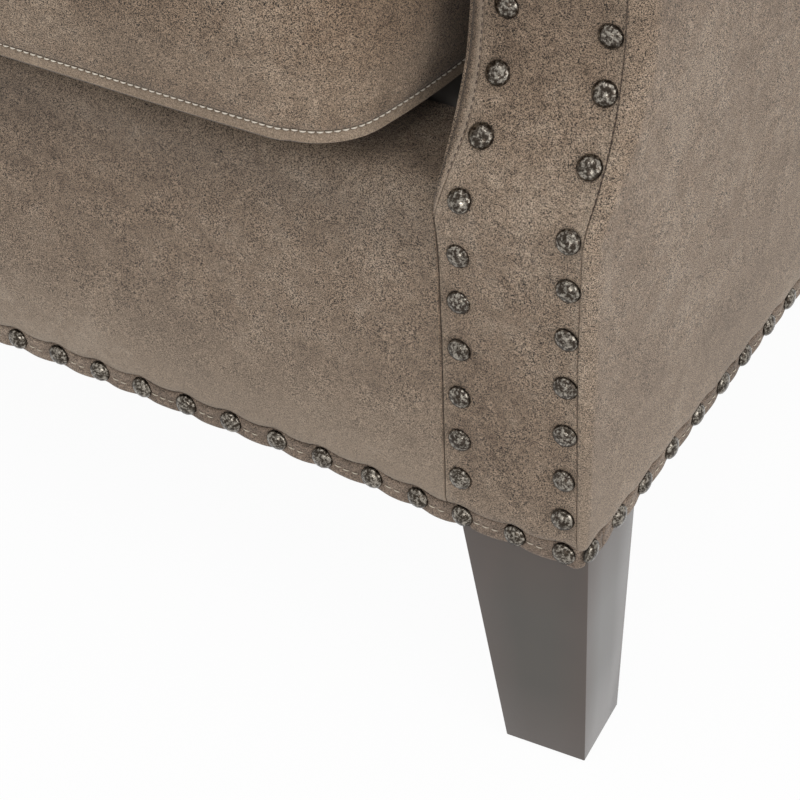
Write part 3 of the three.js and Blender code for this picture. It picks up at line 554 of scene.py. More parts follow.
def stations(low: float, high: float, step: float, low_edge: Edge, high_edge: Edge) -> Stations:
    """Where the columns or rows of a sheet lie, and how deep each is turned in.

    Args:
        low: Where the sheet starts.
        high: Where it ends.
        step: The spacing between its edges.
        low_edge: Places and depths across its first edge.
        high_edge: The same for its last edge.

    Returns:
        The places and the depths.
    """
    first = [(low + place, depth) for place, depth in low_edge]
    last = [(high - place, depth) for place, depth in reversed(high_edge)]
    count = max(round((last[0][0] - first[-1][0]) / step), 1)
    middle = [(place, 0.0) for place in np.linspace(first[-1][0], last[0][0], count + 1)[1:-1]]
    places, depths = zip(*first, *middle, *last)
    return np.array(places), np.array(depths)


def unit(vectors: Array) -> Array:
    """Vectors brought to a length of 1."""
    return vectors / np.maximum(np.linalg.norm(vectors, axis=-1, keepdims=True), 1e-12)


def run_of(line: Array) -> Array:
    """How far along a line each of its points lies."""
    return np.concatenate([[0], np.cumsum(np.linalg.norm(np.diff(line, axis=0), axis=1))])


def on_line(at: Array, run: Array, line: Array) -> Array:
    """The places that lie at some distances along a line."""
    return np.stack([np.interp(at, run, column) for column in line.T], axis=1)


def after_foot(foot: Array, rest: Stations) -> Stations:
    """A cover's close, flat rows at its foot, with the rest of its rows after them."""
    return np.append(foot, rest[0]), np.append(np.zeros(len(foot)), rest[1])


def facing(surface: Surface, across: Array, along: Array, reach: float) -> Array:
    """The direction that a surface faces at each place."""
    right = surface(across + reach, along) - surface(across - reach, along)
    up = surface(across, along + reach) - surface(across, along - reach)
    return unit(np.cross(right, up))


def wavering(points: Array, scale: float, height: float, seed: float = 0.0) -> Array:
    """A soft seeded unevenness at each point, for cloth that isn't perfectly flat."""
    flat = points.reshape(-1, 3) * scale + seed
    values = [noise.fractal(Vector(place), 0.9, 2.1, 3) for place in flat]
    return height * np.array(values).reshape(points.shape[:-1])


def lay_grid(work: bmesh.types.BMesh, points: Array) -> list[bmesh.types.BMVert]:
    """Adds a grid of faces whose corners lie at the points.

    Args:
        work: The mesh being built.
        points: Rows of columns of places.

    Returns:
        The grid's vertices, row by row.
    """
    rows, columns = points.shape[:2]
    made = bmesh.ops.create_grid(work, x_segments=columns - 1, y_segments=rows - 1, size=1.0)["verts"]
    ordered = sorted(made, key=lambda vert: (round(vert.co.y, 6), round(vert.co.x, 6)))
    for vert, place in zip(ordered, points.reshape(-1, 3)):
        vert.co = place
    return ordered


def finished(work: bmesh.types.BMesh, name: str, finish: Finish) -> bpy.types.Object:
    """Turns a built mesh into a smooth-shaded object at the origin, in one finish."""
    mesh = bpy.data.meshes.new(name)
    work.to_mesh(mesh)
    work.free()
    mesh.polygons.foreach_set("use_smooth", [True] * len(mesh.polygons))
    mesh.materials.append(finish.material())
    made = bpy.data.objects.new(name, mesh)
    bpy.context.scene.collection.objects.link(made)
    return made


class Skin:
    """A mesh being built, whose vertices say how rubbed they are, painted light included, and how much painted shade
    they carry.
    """

    def __init__(self) -> None:
        """Starts an empty mesh with both marks."""
        self.work = bmesh.new()
        self.worn = self.work.verts.layers.float.new("worn")
        self.tucked = self.work.verts.layers.float.new("tucked")

    def lay(self, points: Array, rubbed: Array, shade_level: Array) -> None:
        """Adds a grid of faces.

        Args:
            points: Rows of columns of places.
            rubbed: How rubbed each of them is, painted light included, from 0 to 1.
            shade_level: How much painted shade each of them carries, from 0 to 1.
        """
        # Each vertex keeps its rubbing, painted light included, and its painted shade (sunk).
        for vert, rub, sunk in zip(lay_grid(self.work, points), rubbed.ravel(), shade_level.ravel()):
            vert[self.worn] = rub
            vert[self.tucked] = sunk

    def close(self) -> None:
        """Welds a rolled-up grid along its seam, caps what is still open and faces it outwards."""
        work = self.work
        bmesh.ops.remove_doubles(work, verts=work.verts, dist=1e-7)
        bmesh.ops.holes_fill(work, edges=[edge for edge in work.edges if edge.is_boundary], sides=0)
        bmesh.ops.recalc_face_normals(work, faces=work.faces)


def mirrored(work: bmesh.types.BMesh) -> None:
    """Turns a right-hand mesh into the left-hand one."""
    bmesh.ops.scale(work, vec=(-1, 1, 1), verts=work.verts)
    bmesh.ops.reverse_faces(work, faces=work.faces)


@dataclass
class Pad:
    """A padded cover: a sheet laid over a surface, a lining behind it, and a rim that joins them."""

    name: str
    surface: Surface
    across: Stations
    along: Stations
    thickness: float
    probe: float = 0.2 * MM
    relief: Optional[Relief] = None
    wear: Optional[Relief] = None
    thinning: Optional[Relief] = None
    grime: Optional[Relief] = None
    finish: Finish = SUEDE

    def build(self, side: Side = Side.RIGHT) -> bpy.types.Object:
        """Makes the cover.

        Args:
            side: The side of the chair that it is for.

        Returns:
            The cover's object.
        """
        across, along = np.meshgrid(self.across[0], self.along[0])
        depth = np.add.outer(self.along[1], self.across[1])
        base = self.surface(across, along)
        normal = facing(self.surface, across, along, self.probe)
        wall = np.full(depth.shape, self.thickness)
        if self.thinning is not None:
            wall = np.minimum(wall, self.thinning(across, along, base))
        depth = np.minimum(depth, wall * 0.94)
        swell = self.relief(across, along, base) if self.relief else np.zeros(depth.shape)
        outer = base + normal * (swell - depth)[..., None]
        lining = base - normal * wall[..., None]
        wear = self.wear(across, along, base) if self.wear else np.zeros(depth.shape)
        # Turned-in cloth gets painted shade, deeper the further it is turned in; grime adds painted shade in creases
        # and under the cushion.
        shade_level = np.clip(depth / (0.8 * self.thickness), 0, 1) ** 1.5
        if self.grime is not None:
            shade_level = np.maximum(shade_level, self.grime(across, along, base))
        skin = Skin()
        skin.lay(outer, wear, shade_level)
        work = skin.work
        behind = set(lay_grid(work, lining))
        bmesh.ops.reverse_faces(work, faces=[face for face in work.faces if face.verts[0] in behind])
        rims = [edge for edge in work.edges if edge.is_boundary]
        bmesh.ops.bridge_loops(work, edges=rims)
        if side is Side.LEFT:
            mirrored(work)
        return finished(work, self.name, self.finish)


def lathe(work: bmesh.types.BMesh, profile: Edge, steps: int) -> None:
    """Spins a profile of (radius, height) points about the Z axis into a closed skin."""
    verts = [work.verts.new((radius, 0.0, height)) for radius, height in profile]
    edges = [work.edges.new(pair) for pair in zip(verts, verts[1:])]
    bmesh.ops.spin(work, geom=[*verts, *edges], cent=(0, 0, 0), axis=(0, 0, 1), dvec=(0, 0, 0),
                   angle=2 * math.pi, steps=steps, use_merge=True, use_duplicate=False)
    bmesh.ops.remove_doubles(work, verts=work.verts, dist=1e-6)
    bmesh.ops.recalc_face_normals(work, faces=work.faces)


def placing(place: Array, ahead: Array, outward: Array) -> Matrix:
    """A matrix that puts a small part's X along ahead and its Z outward, at a place."""
    up = Vector(outward).normalized()
    along = Vector(ahead)
    along = (along - up * along.dot(up)).normalized()
    turn = Matrix((along, up.cross(along), up)).transposed().to_4x4()
    return Matrix.Translation(Vector(place)) @ turn


def scattered(name: str, part: bmesh.types.BMesh, places: Iterable[Matrix], finish: Finish) -> bpy.types.Object:
    """Repeats a small part at many places, as one mesh.

    Args:
        name: The new object's name.
        part: The small part, at the origin.
        places: Where each copy goes.
        finish: What it is made of.

    Returns:
        The object.
    """
    single = bpy.data.meshes.new(name + "_one")
    part.to_mesh(single)
    work = bmesh.new()
    for place in places:
        known = len(work.verts)
        work.from_mesh(single)
        work.verts.ensure_lookup_table()
        bmesh.ops.transform(work, matrix=place, verts=work.verts[known:])
    bpy.data.meshes.remove(single)
    return finished(work, name, finish)


@dataclass
class StitchRow:
    """A row of stitches sewn along a line."""

    pitch: float
    length: float
    thread: float
    sink_share: float = 0.25

    def one(self) -> bmesh.types.BMesh:
        """One stitch: a short thread whose two ends dip into the cloth."""
        work = bmesh.new()
        bmesh.ops.create_uvsphere(work, u_segments=6, v_segments=7, radius=0.5)
        bmesh.ops.rotate(work, cent=(0, 0, 0), matrix=Matrix.Rotation(math.pi / 2, 3, "Y"), verts=work.verts)
        bmesh.ops.scale(work, vec=(self.length, self.thread * 1.25, self.thread), verts=work.verts)
        for vert in work.verts:
            share = abs(2 * vert.co.x / self.length)
            vert.co.z -= self.thread * 0.8 * share ** 3
        return work

    def places(self, line: Array, outward: Array) -> list[Matrix]:
        """Where the stitches of this row go along a line, clear of its two ends."""
        run = run_of(line)
        at = np.arange(self.pitch / 2, run[-1] - self.length / 2, self.pitch)
        spot = on_line(at, run, line)
        ahead = on_line(at + MM / 2, run, line)
        up = unit(on_line(at, run, outward))
        lift = self.thread * (0.5 - self.sink_share)
        return [placing(p + n * lift, q - p, n) for p, q, n in zip(spot, ahead, up)]

    def sew(self, name: str, lines: Sequence[tuple[Array, Array]], finish: Finish) -> bpy.types.Object:
        """Sews the row along several lines, each given with its outward directions."""
        spots = [place for line, outward in lines for place in self.places(line, outward)]
        return scattered(name, self.one(), spots, finish)


# The chair's form


@dataclass(frozen=True)
class ChairForm:
    """The faces and curves that the covers share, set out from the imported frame."""

    half: float  # middle to the flat outside arm
    front: float  # y of the front face
    rear: float  # y of the outside back's foot
    bottom: float  # underside of the body
    deck_top: float
    chair_top: float
    clearance: float = 0.3 * MM
    rear_pad: float = 8 * MM
    band_height: float = 12.6 * MM
    band_proud: float = -2.6 * MM  # below nought: the stuffed covers swell past the band
    band_thickness: float = 3 * MM
    band_corner: float = 7 * MM
    foot_roll: float = 8 * MM  # height over which a cover rolls in to the band
    foot_draw: float = 3.2 * MM
    back_rake: float = math.radians(10)
    inside_rake: float = math.radians(12)
    arm_rise: float = 502 * MM
    outer_seam_run: Curve = ((-178, 4.4), (-131, 5.4), (-89, 6.3), (-60, 6.7), (-3, 6.1), (9, 6.6), (24, 7.5),
                             (40, 8.8), (55, 10.0), (70, 10.3))
    inner_seam_run: Curve = ((-178, 70.6), (-74, 71.5), (-35, 72.4), (-20, 73.4), (-12, 74.6), (-8, 73.4), (-2, 71.8),
                             (3, 71.2), (9, 71.0), (21, 69.9), (32, 70.4), (43, 71.4), (53, 72.6), (64, 73.3),
                             (274, 70.5))
    arm_face_run: Curve = ((-12, 74.6), (-2, 75.7), (5, 76.1), (10, 76.8), (19, 78.3), (30, 80.0), (60, 82.0),
                           (150, 81.5), (274, 79.0))
    kink_over_deck: float = 1 * MM
    kink_softness: float = 5 * MM
    sweep_rise: float = 75 * MM
    sweep_depth: float = 40 * MM
    roll_radius: float = 50 * MM
    roll_inset: float = 29 * MM
    arm_bulge: float = 13 * MM
    arm_front_bulge: float = 3 * MM
    seam_gap: float = 0.5 * MM  # from the outer seam to the cover's corner
    strip_on_roll: float = 8.5 * MM  # radius of the arm cover's front corner
    strip_taper: float = 12 * MM
    band_dip: float = 2.2 * MM  # of the band's upper edge, between its nails
    band_hang: float = 1.2 * MM  # of its lower edge, between its nails
    band_droop: float = 2.4 * MM  # of the whole band, beside each front leg
    droop_inset: float = 71 * MM
    corner_droop: float = 1.1 * MM
    crest_height: float = 60 * MM
    crest_taper: float = 14 * MM
    back_thickness: float = 97 * MM
    wing_depth: float = 305 * MM
    wing_nose_over_arm: float = 98 * MM
    wing_shoulder_back: float = 55 * MM
    wing_foot: float = 14 * MM
    wing_inset: float = 54 * MM

    @classmethod
    def from_frame(cls) -> "ChairForm":
        """Reads the form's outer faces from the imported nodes."""
        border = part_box("front_border")
        rear_gap = cls.rear_pad + cls.clearance
        return cls(
            half=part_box("outside_arm_panel_right")[1].x,
            front=border[0].y,
            rear=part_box("dust_sheet")[1].y + rear_gap,
            bottom=border[0].z,
            deck_top=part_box("seat_deck")[1].z,
            chair_top=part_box("inside_back")[1].z,
        )

    @property
    def arm_top(self) -> float:
        """Height of the top of the arm roll."""
        return self.bottom + self.arm_rise

    @property
    def roll_height(self) -> float:
        """Height of the roll's centre."""
        return self.arm_top - self.roll_radius

    @property
    def crease_height(self) -> float:
        """Height of the crease under the roll, on the outside."""
        return self.roll_height - math.sqrt(self.roll_radius ** 2 - self.roll_inset ** 2)

    @property
    def arm_inner(self) -> float:
        """Inset of the inside arm at the roll."""
        return self.roll_inset + self.roll_radius

    @property
    def kink(self) -> float:
        """Height at which the arm front starts to sweep back."""
        return self.deck_top + self.kink_over_deck

    @property
    def band_top(self) -> float:
        """Height of the band's upper edge."""
        return self.bottom + self.band_height + self.clearance

    @property
    def crest_start(self) -> float:
        """Height at which the crest's curve starts."""
        return self.chair_top - self.crest_height

    @property
    def post_rear(self) -> float:
        """The y of the back posts' rear faces at the foot."""
        return self.rear - self.rear_pad - self.clearance

    @property
    def wing_nose(self) -> float:
        """Height of the wing's foremost point."""
        return self.arm_top + self.wing_nose_over_arm

    def rake_at(self, z: Array) -> Array:
        """How far the outside back has leaned back at a height."""
        return (z - self.bottom) * math.tan(self.back_rake)

    def sharp_front(self, z: Array) -> Array:
        """The arm front's y at a height, with a sharp kink."""
        share = np.clip((z - self.kink) / self.sweep_rise, 0, 1)
        return self.front + self.sweep_depth * (1 - (1 - share) ** 2)

    def front_at(self, z: Array) -> Array:
        """The arm front's y at a height, with the kink eased as padding eases it."""
        offsets = np.linspace(-self.kink_softness, self.kink_softness, 7)
        return sum(self.sharp_front(z + offset) for offset in offsets) / len(offsets)

    def along_curve(self, curve: Curve, z: Array) -> Array:
        """The inset that a curve gives at a height, with its corners eased."""
        rise, inset = np.array(curve).T * MM
        return sum(np.interp(z - self.kink + offset, rise, inset) for offset in np.linspace(-3, 3, 7) * MM) / 7

    def outer_seam(self, z: Array) -> Array:
        """Inset of the panel's outer seam, below the roll."""
        return self.along_curve(self.outer_seam_run, z)

    def arm_face(self, z: Array) -> Array:
        """Inset of the inside arm at its front."""
        return self.along_curve(self.arm_face_run, z)

    def panel_inner(self, z: Array) -> Array:
        """Inset of the arm front panel's inner seam, below the roll."""
        return self.along_curve(self.inner_seam_run, z)

    def strip(self, z: Array) -> Array:
        """Radius of the arm cover's front corner, which tapers to nothing just under the kink."""
        wide = self.arm_face(z) - self.panel_inner(z)
        return np.maximum(wide, 0) * smoothstep(z, self.kink - self.strip_taper - 1 * MM, self.kink - 9 * MM)

    def border_side(self, z: Array) -> Array:
        """Inset at which the front border ends, beside the panel and the foot of the arm cover's strip."""
        return self.panel_inner(z) + self.strip(z) + self.clearance

    def back_half(self, z: Array) -> Array:
        """Half the width over the wings at a height, as far up as the crest's curve."""
        share = np.clip((z - self.arm_top) / (self.crest_start - self.arm_top), 0, 1)
        return self.half - self.crest_taper * share

    def crest_at(self, x: Array) -> Array:
        """Height of the crest at a distance from the middle."""
        share = np.minimum(np.abs(x) / (self.half - self.crest_taper), 1)
        return self.crest_start + self.crest_height * (1 - share ** 3) ** (1 / 3)

    def wing_front(self, z: Array) -> Array:
        """The y of the wing's front edge at a height."""
        nose = self.rear - self.wing_depth
        shoulder = self.rear + self.wing_shoulder_back
        below = nose + self.wing_foot * ((self.wing_nose - z) / self.wing_nose_over_arm) ** 2
        share = np.clip((z - self.wing_nose) / (self.chair_top - self.wing_nose), 0, 1)
        above = shoulder - (shoulder - nose) * np.sqrt(1 - share ** 2)
        return np.where(z < self.wing_nose, below, above)

    def let_in(self, z: Array, dip: Array | float = 0.0) -> Array:
        """How far in a cover's foot lies: it rolls in over the band's upper edge and goes on behind it.

        Args:
            z: Heights on the cover.
            dip: How far the band's upper edge dips there.

        Returns:
            Depths behind the cover's face.
        """
        over = z - self.band_top + dip
        seat = self.band_thickness - self.band_proud + self.clearance
        up = np.clip(over / self.foot_roll, 0, 1)
        rolled = self.foot_draw * (1 - np.sqrt(1 - (1 - up) ** 2))
        return rolled + (seat - self.foot_draw) * (1 - smoothstep(over, -1.6 * MM, 0.2 * MM))

    def crease(self, z: Array, dip: Array | float = 0.0) -> Array:
        """Painted shade in the crease where a cover meets the band's upper edge."""
        return 0.9 * np.exp(-(np.maximum(z - self.band_top + dip, 0) / (1.1 * MM)) ** 2)

    def fullness_at(self, gap: Array) -> Array:
        """How freely the band stands at a distance from a nail: 0 at the nail, 1 well away."""
        return 1 - np.exp(-(gap / (6 * MM)) ** 2)

    def front_droop(self, x: Array) -> Array:
        """How far the hand-laid band hangs under its true line at an x, across the front or the rear."""
        inset = self.half - np.abs(x)
        beside_leg = self.band_droop * np.exp(-((inset - self.droop_inset) / (27 * MM)) ** 2)
        return beside_leg + self.corner_droop * (1 - smoothstep(inset, 30 * MM, 60 * MM))

    def side_droop(self, y: Array) -> Array:
        """How far the band hangs under its true line at a y, along a side."""
        return self.corner_droop * (1 - smoothstep(y - self.front, 45 * MM, 80 * MM))

    def foot_wall(self, thickness: float) -> Relief:
        """A rule for a cover's thickness, less where its foot is let in."""
        return lambda across, along, base: thickness - self.let_in(base[..., 2])

    def foot_rows(self) -> Array:
        """Heights over the body's bottom of a cover's closer rows, behind the band and over its edge."""
        behind = np.array([0.5, 3.0, 5.8]) * MM
        over = np.array([-5.8, -5.1, -4.5, -3.9, -3.3, -2.7, -2.1, -1.5, -0.9, -0.3, 0.4, 1.2, 2.2, 3.6, 5.6, 8.0]) * MM
        return np.concatenate([behind, self.band_height + self.clearance + over])


# Nails


@dataclass
class Nails:
    """Domed decorative nails along the base band and round each arm's front panel."""

    form: ChairForm
    margin: float = 0.6 * MM
    rise: float = 3.5 * MM
    from_seam: float = 5.3 * MM
    further_on_sweep: float = 1 * MM
    inner_inset: float = 62.6 * MM
    round_radius: float = 34.5 * MM
    foot_rise: float = 25.3 * MM
    outer_column: Row = (27.6, 50.0, 75.4, 101.2, 126.6, 151.7, 175.5, 206.8, 236.5, 260.0)  # up a panel
    inner_column: Row = (28.8, 51.2, 75.4, 101.2, 126.6, 150.6, 177.3, 205.6, 231.7, 260.0)
    front_drift: Row = (-0.8, -0.2, -2.0, 0.0, 0.8, -0.9, -0.6, -1.3, -1.7, -2.2, -1.9, -1.4, -1.5, -0.6)
    side_drift: Row = (2.0, 2.4, 1.6, 2.8, 4.0, 5.0, 3.4, 4.6, 2.6, 1.2)
    panel_pitch: float = 25.6 * MM
    front_pitch: float = 25.2 * MM
    side_pitch: float = 26.2 * MM
    from_side: float = 11 * MM
    from_front: float = 7.7 * MM
    sides: int = 14
    seed: int = 11

    @property
    def radius(self) -> float:
        """Radius of a nail's head."""
        return self.form.band_height / 2 - self.margin

    def one(self) -> bmesh.types.BMesh:
        """One nail's head, facing up: a dome with a rolled rim and a short shank."""
        radius, rise = self.radius, self.rise
        dome = [(radius * math.cos(a), 0.35 * MM + (rise - 0.35 * MM) * math.sin(a))
                for a in np.radians([12, 30, 48, 66, 80, 90])]
        dome[-1] = (0.0, rise)
        shank = 0.9 * MM
        profile = [(0.0, -2.2 * MM), (shank, -1.9 * MM), (shank, -0.1 * MM), (radius * 0.9, -0.5 * MM),
                   (radius, 0.0), *dome]
        work = bmesh.new()
        rim = work.verts.layers.float.new("tucked")
        lathe(work, profile, self.sides)
        for vert in work.verts:
            # The foot of the rim is marked for a painted contact shadow, with some dark patina.
            vert[rim] = float(vert.co.z < 0.3 * MM) * 0.9
        return work

    def spaced(self, start: float, end: float, pitch: float) -> Array:
        """Places in a row, with the pitch that fits it a whole number of times."""
        return np.linspace(start, end, round((end - start) / pitch) + 1)

    def line(self) -> tuple[Array, Array]:
        """The nails' line inside a right-hand panel's seam: up the outer edge, round the roll and down."""
        form = self.form
        radius = self.round_radius
        outer = float(form.outer_seam(np.array(form.roll_height))) + self.from_seam + self.further_on_sweep
        turn = math.acos((form.roll_inset - outer) / radius)
        foot = form.bottom + self.foot_rise
        rising = np.linspace(foot, form.roll_height - radius * math.sin(turn), 200)
        angles = np.linspace(math.pi + turn, 0, 200)[1:]
        falling = np.linspace(form.roll_height, foot, 200)[1:]
        inset = np.concatenate([
            np.maximum(form.outer_seam(rising) + self.from_seam, 11.4 * MM)
            + self.further_on_sweep * smoothstep(rising, form.kink - 20 * MM, form.kink),
            form.roll_inset + radius * np.cos(angles),
            between(form.roll_inset + radius, self.inner_inset, smoothstep(falling, form.roll_height, form.kink)),
        ])
        z = np.concatenate([rising, form.roll_height + radius * np.sin(angles), falling])
        return inset, z

    def panel_places(self) -> tuple[Array, Array]:
        """The insets and heights of a panel's nails."""
        form = self.form
        inset, z = self.line()
        points = np.stack([inset, form.sharp_front(z), z], axis=1)
        run = run_of(points)
        outer = np.array(self.outer_column) * MM - self.foot_rise
        inner = np.array(self.inner_column) * MM - self.foot_rise
        rest = self.spaced(outer[-1], run[-1] - inner[-1], self.panel_pitch)[1:-1]
        at = np.concatenate([outer, rest, run[-1] - inner[::-1]])
        return np.interp(at, run, inset), np.interp(at, run, z)

    def panel_spots(self, side: Side) -> list[tuple[Array, Array]]:
        """The places and outward directions of one panel's nails."""
        form = self.form
        inset, z = self.panel_places()
        lean = (form.front_at(z + self.radius) - form.front_at(z - self.radius)) / (2 * self.radius)
        places = np.stack([side.value * (form.half - inset), form.front_at(z), z], axis=1)
        outward = unit(np.stack([np.zeros(len(z)), -np.ones(len(z)), lean], axis=1))
        return list(zip(places, outward))

    def band_middle(self) -> float:
        """Height of the base band's nails."""
        return self.form.bottom + self.form.band_height / 2

    def front_row(self) -> Array:
        """The x of the nails across the front and the rear."""
        reach = self.form.half - self.from_side
        row = self.spaced(-reach, reach, self.front_pitch)
        drift = np.array(self.front_drift) * MM
        row[:len(drift)] -= drift
        row[-len(drift):] += drift[::-1]
        return row

    def front_dip(self, x: Array) -> Array:
        """How far the front band's upper edge lies under its true line at an x."""
        gap = np.abs(x[..., None] - self.front_row()).min(axis=-1)
        return self.form.band_dip * self.form.fullness_at(gap) + self.form.front_droop(x)

    def side_dip(self, y: Array) -> Array:
        """How far a side band's upper edge lies under its true line at a y."""
        gap = np.abs(y[..., None] - self.side_row()).min(axis=-1)
        return self.form.band_dip * self.form.fullness_at(gap) + self.form.side_droop(y)

    def side_row(self) -> Array:
        """The y of the nails along a side, the first of them on the front band's return."""
        form = self.form
        end = form.rear + form.band_proud - form.band_thickness - form.clearance - self.from_side
        row = self.spaced(form.front + self.from_front, end, self.side_pitch)
        row[:len(self.side_drift)] += np.array(self.side_drift) * MM
        return row

    def rear_face(self, z: float) -> float:
        """The y of the rear band's outer face at a height."""
        return self.form.rear + self.form.band_proud + float(self.form.rake_at(z))

    def rows(self) -> dict[str, list[tuple[Array, Array]]]:
        """Each group of nails by name, as places and outward directions."""
        form = self.form
        z = self.band_middle()
        x = form.half + form.band_proud
        lean = math.tan(form.back_rake)
        low = z - form.front_droop(self.front_row())
        front = [(np.array((at, form.front - form.band_proud, high)), np.array((0, -1, 0.0)))
                 for at, high in zip(self.front_row(), low)]
        rear = [(np.array((at, self.rear_face(high), high)), np.array((0, 1, -lean)))
                for at, high in zip(self.front_row(), low)]
        groups = {"nails_base_front": front, "nails_base_rear": rear}
        for side in Side:
            rows = [(np.array((side.value * x, at, z - float(form.side_droop(at)))), np.array((side.value, 0, 0.0)))
                    for at in self.side_row()]
            groups[f"nails_base_{side.word}"] = rows
            groups[f"nails_arm_{side.word}"] = self.panel_spots(side)
        return groups

    def seam_lines(self) -> list[tuple[Array, Array]]:
        """The seams of both arm fronts above the kink, with their outward directions."""
        form = self.form
        z = np.linspace(form.kink + 6 * MM, form.roll_height, 120)
        lean = (form.front_at(z + MM) - form.front_at(z - MM)) / (2 * MM)
        outward = unit(np.stack([np.zeros(len(z)), -np.ones(len(z)), lean], axis=1))
        lines = []
        for side in Side:
            for inset in (form.outer_seam(z) - 0.1 * MM, form.panel_inner(z) + 0.3 * MM):
                line = np.stack([side.value * (form.half - inset), form.front_at(z) + 0.15 * MM, z], axis=1)
                lines.append((line, outward))
        return lines

    def build(self) -> list[bpy.types.Object]:
        """Drives every nail, each turned and tipped a little as a hand-driven one is."""
        chance = np.random.default_rng(self.seed)
        made = []
        for name, spots in self.rows().items():
            places = []
            for place, outward in spots:
                ahead = unit(np.cross(outward, chance.normal(size=3)))
                tipped = unit(outward + chance.normal(scale=0.045, size=3))
                size = Matrix.Diagonal((*[1 + chance.uniform(-0.025, 0.025)] * 2, 1, 1))
                places.append(placing(place - tipped * 0.1 * MM, ahead, tipped) @ size)
            made.append(scattered(name, self.one(), places, PEWTER))
        return made


# Covers


@dataclass
class ArmFront:
    """The swept front panel of an arm: a keyhole outline, rolled edges, and dimples under its nails."""

    form: ChairForm
    nails: Nails
    edge: float = 0.8 * MM
    turn_in: float = 4 * MM
    thickness: float = 9 * MM
    row_step: float = 2.6 * MM
    top_angle: float = math.radians(88.6)
    dimple: float = 0.75 * MM
    dimple_reach: float = 8.5 * MM

    @property
    def radius(self) -> float:
        """Radius of the panel's round top."""
        return self.form.roll_radius - self.form.strip_on_roll

    def limits(self, z: Array) -> tuple[Array, Array]:
        """Insets of the outer and inner seams at a height."""
        form = self.form
        chord = np.sqrt(np.maximum(self.radius ** 2 - (z - form.roll_height) ** 2, 0))
        seam_top = float(form.outer_seam(np.array(form.roll_height)))
        round_from = form.roll_height - math.sqrt(self.radius ** 2 - (form.roll_inset - seam_top) ** 2)
        outer = np.where(z < round_from, form.outer_seam(z), form.roll_inset - chord)
        inner = np.where(z < form.roll_height, form.panel_inner(z), form.roll_inset + chord)
        return outer, inner

    def surface(self, share: Array, z: Array) -> Array:
        """A place on the panel, by its share of the way from the inner seam and its height."""
        outer, inner = self.limits(z)
        x = self.form.half - between(inner, outer, share)
        depth = self.form.let_in(z, self.nails.front_dip(x))
        return np.stack([x, self.form.front_at(z) + depth, z], axis=-1)

    def rows(self) -> Stations:
        """Heights of the panel's rows: even ones up to the roll, then round it."""
        form = self.form
        foot = form.bottom + form.foot_rows()
        straight = np.append(foot, np.arange(foot[-1] + self.row_step, form.roll_height, self.row_step))
        round_top = form.roll_height + self.radius * np.sin(np.linspace(0.04, self.top_angle, 34))
        places = np.concatenate([straight, round_top])
        return places, np.zeros(len(places))

    def columns(self) -> Stations:
        """Shares of the panel's columns, closer at its edges."""
        width = 64 * MM
        edge = [(place / width, 0.0) for place, _ in turned_edge(self.edge, self.turn_in)]
        edge = [(0.0, 0.0), (0.0, 0.0), *edge[2:]]
        places, _ = stations(0.0, 1.0, 2.8 * MM / width, edge, edge)
        return places, np.zeros(len(places))

    def seam_distance(self, x: Array, z: Array) -> Array:
        """How far a place is from the panel's nearest seam."""
        form = self.form
        inset = form.half - x
        outer, inner = self.limits(z)
        from_round = self.radius - np.hypot(inset - form.roll_inset, z - form.roll_height)
        beside = np.minimum(inset - outer, inner - inset)
        return np.maximum(np.where(z > form.roll_height, from_round, np.minimum(beside, np.where(
            (z > form.crease_height) & (inset < form.roll_inset), from_round, beside))), 0)

    def turned(self, across: Array, along: Array, base: Array) -> Array:
        """Depths and dimples: rolled at the seam, pressed in under each nail, uneven elsewhere."""
        away = self.seam_distance(base[..., 0], base[..., 2])
        rolled = self.edge - np.sqrt(np.maximum(self.edge ** 2 - np.maximum(self.edge - away, 0) ** 2, 0))
        sunk = np.zeros(across.shape)
        sunk[:, 0] = sunk[:, -1] = self.turn_in
        sunk[:, 1] = sunk[:, -2] = self.turn_in / 2
        sunk[-1, :] = self.turn_in
        inset, z = self.nails.panel_places()
        gap = np.hypot(base[..., 0, None] - (self.form.half - inset), base[..., 2, None] - z)
        pressed = self.dimple * np.exp(-(gap / self.dimple_reach) ** 2).sum(axis=-1)
        crown = 0.9 * MM * smoothstep(away, 0, 26 * MM)
        uneven = wavering(base, 26.0, 0.55 * MM, 3.1) * smoothstep(away, 0, 10 * MM)
        return crown + uneven - rolled - sunk - pressed

    def worn(self, across: Array, along: Array, base: Array) -> Array:
        """Rubbing along the seams and over the kink, and lighter just above the band."""
        away = self.seam_distance(base[..., 0], base[..., 2])
        fold = np.exp(-((base[..., 2] - self.form.kink - 4 * MM) / (16 * MM)) ** 2)
        foot = np.exp(-(np.maximum(base[..., 2] - self.form.band_top, 0) / (20 * MM)) ** 1.5)
        return 0.45 * np.exp(-away / (4 * MM)) + 0.3 * fold + 0.4 * foot

    def grime(self, across: Array, along: Array, base: Array) -> Array:
        """Painted shade in the crease over the band."""
        return self.form.crease(base[..., 2], self.nails.front_dip(base[..., 0]))

    def build(self, side: Side) -> bpy.types.Object:
        """Makes the panel for one side."""
        name = f"arm_front_{side.word}"
        pad = Pad(name, self.surface, self.columns(), self.rows(), self.thickness, 0.4 * MM,
                  self.turned, self.worn, self.form.foot_wall(self.thickness), self.grime)
        return pad.build(side)


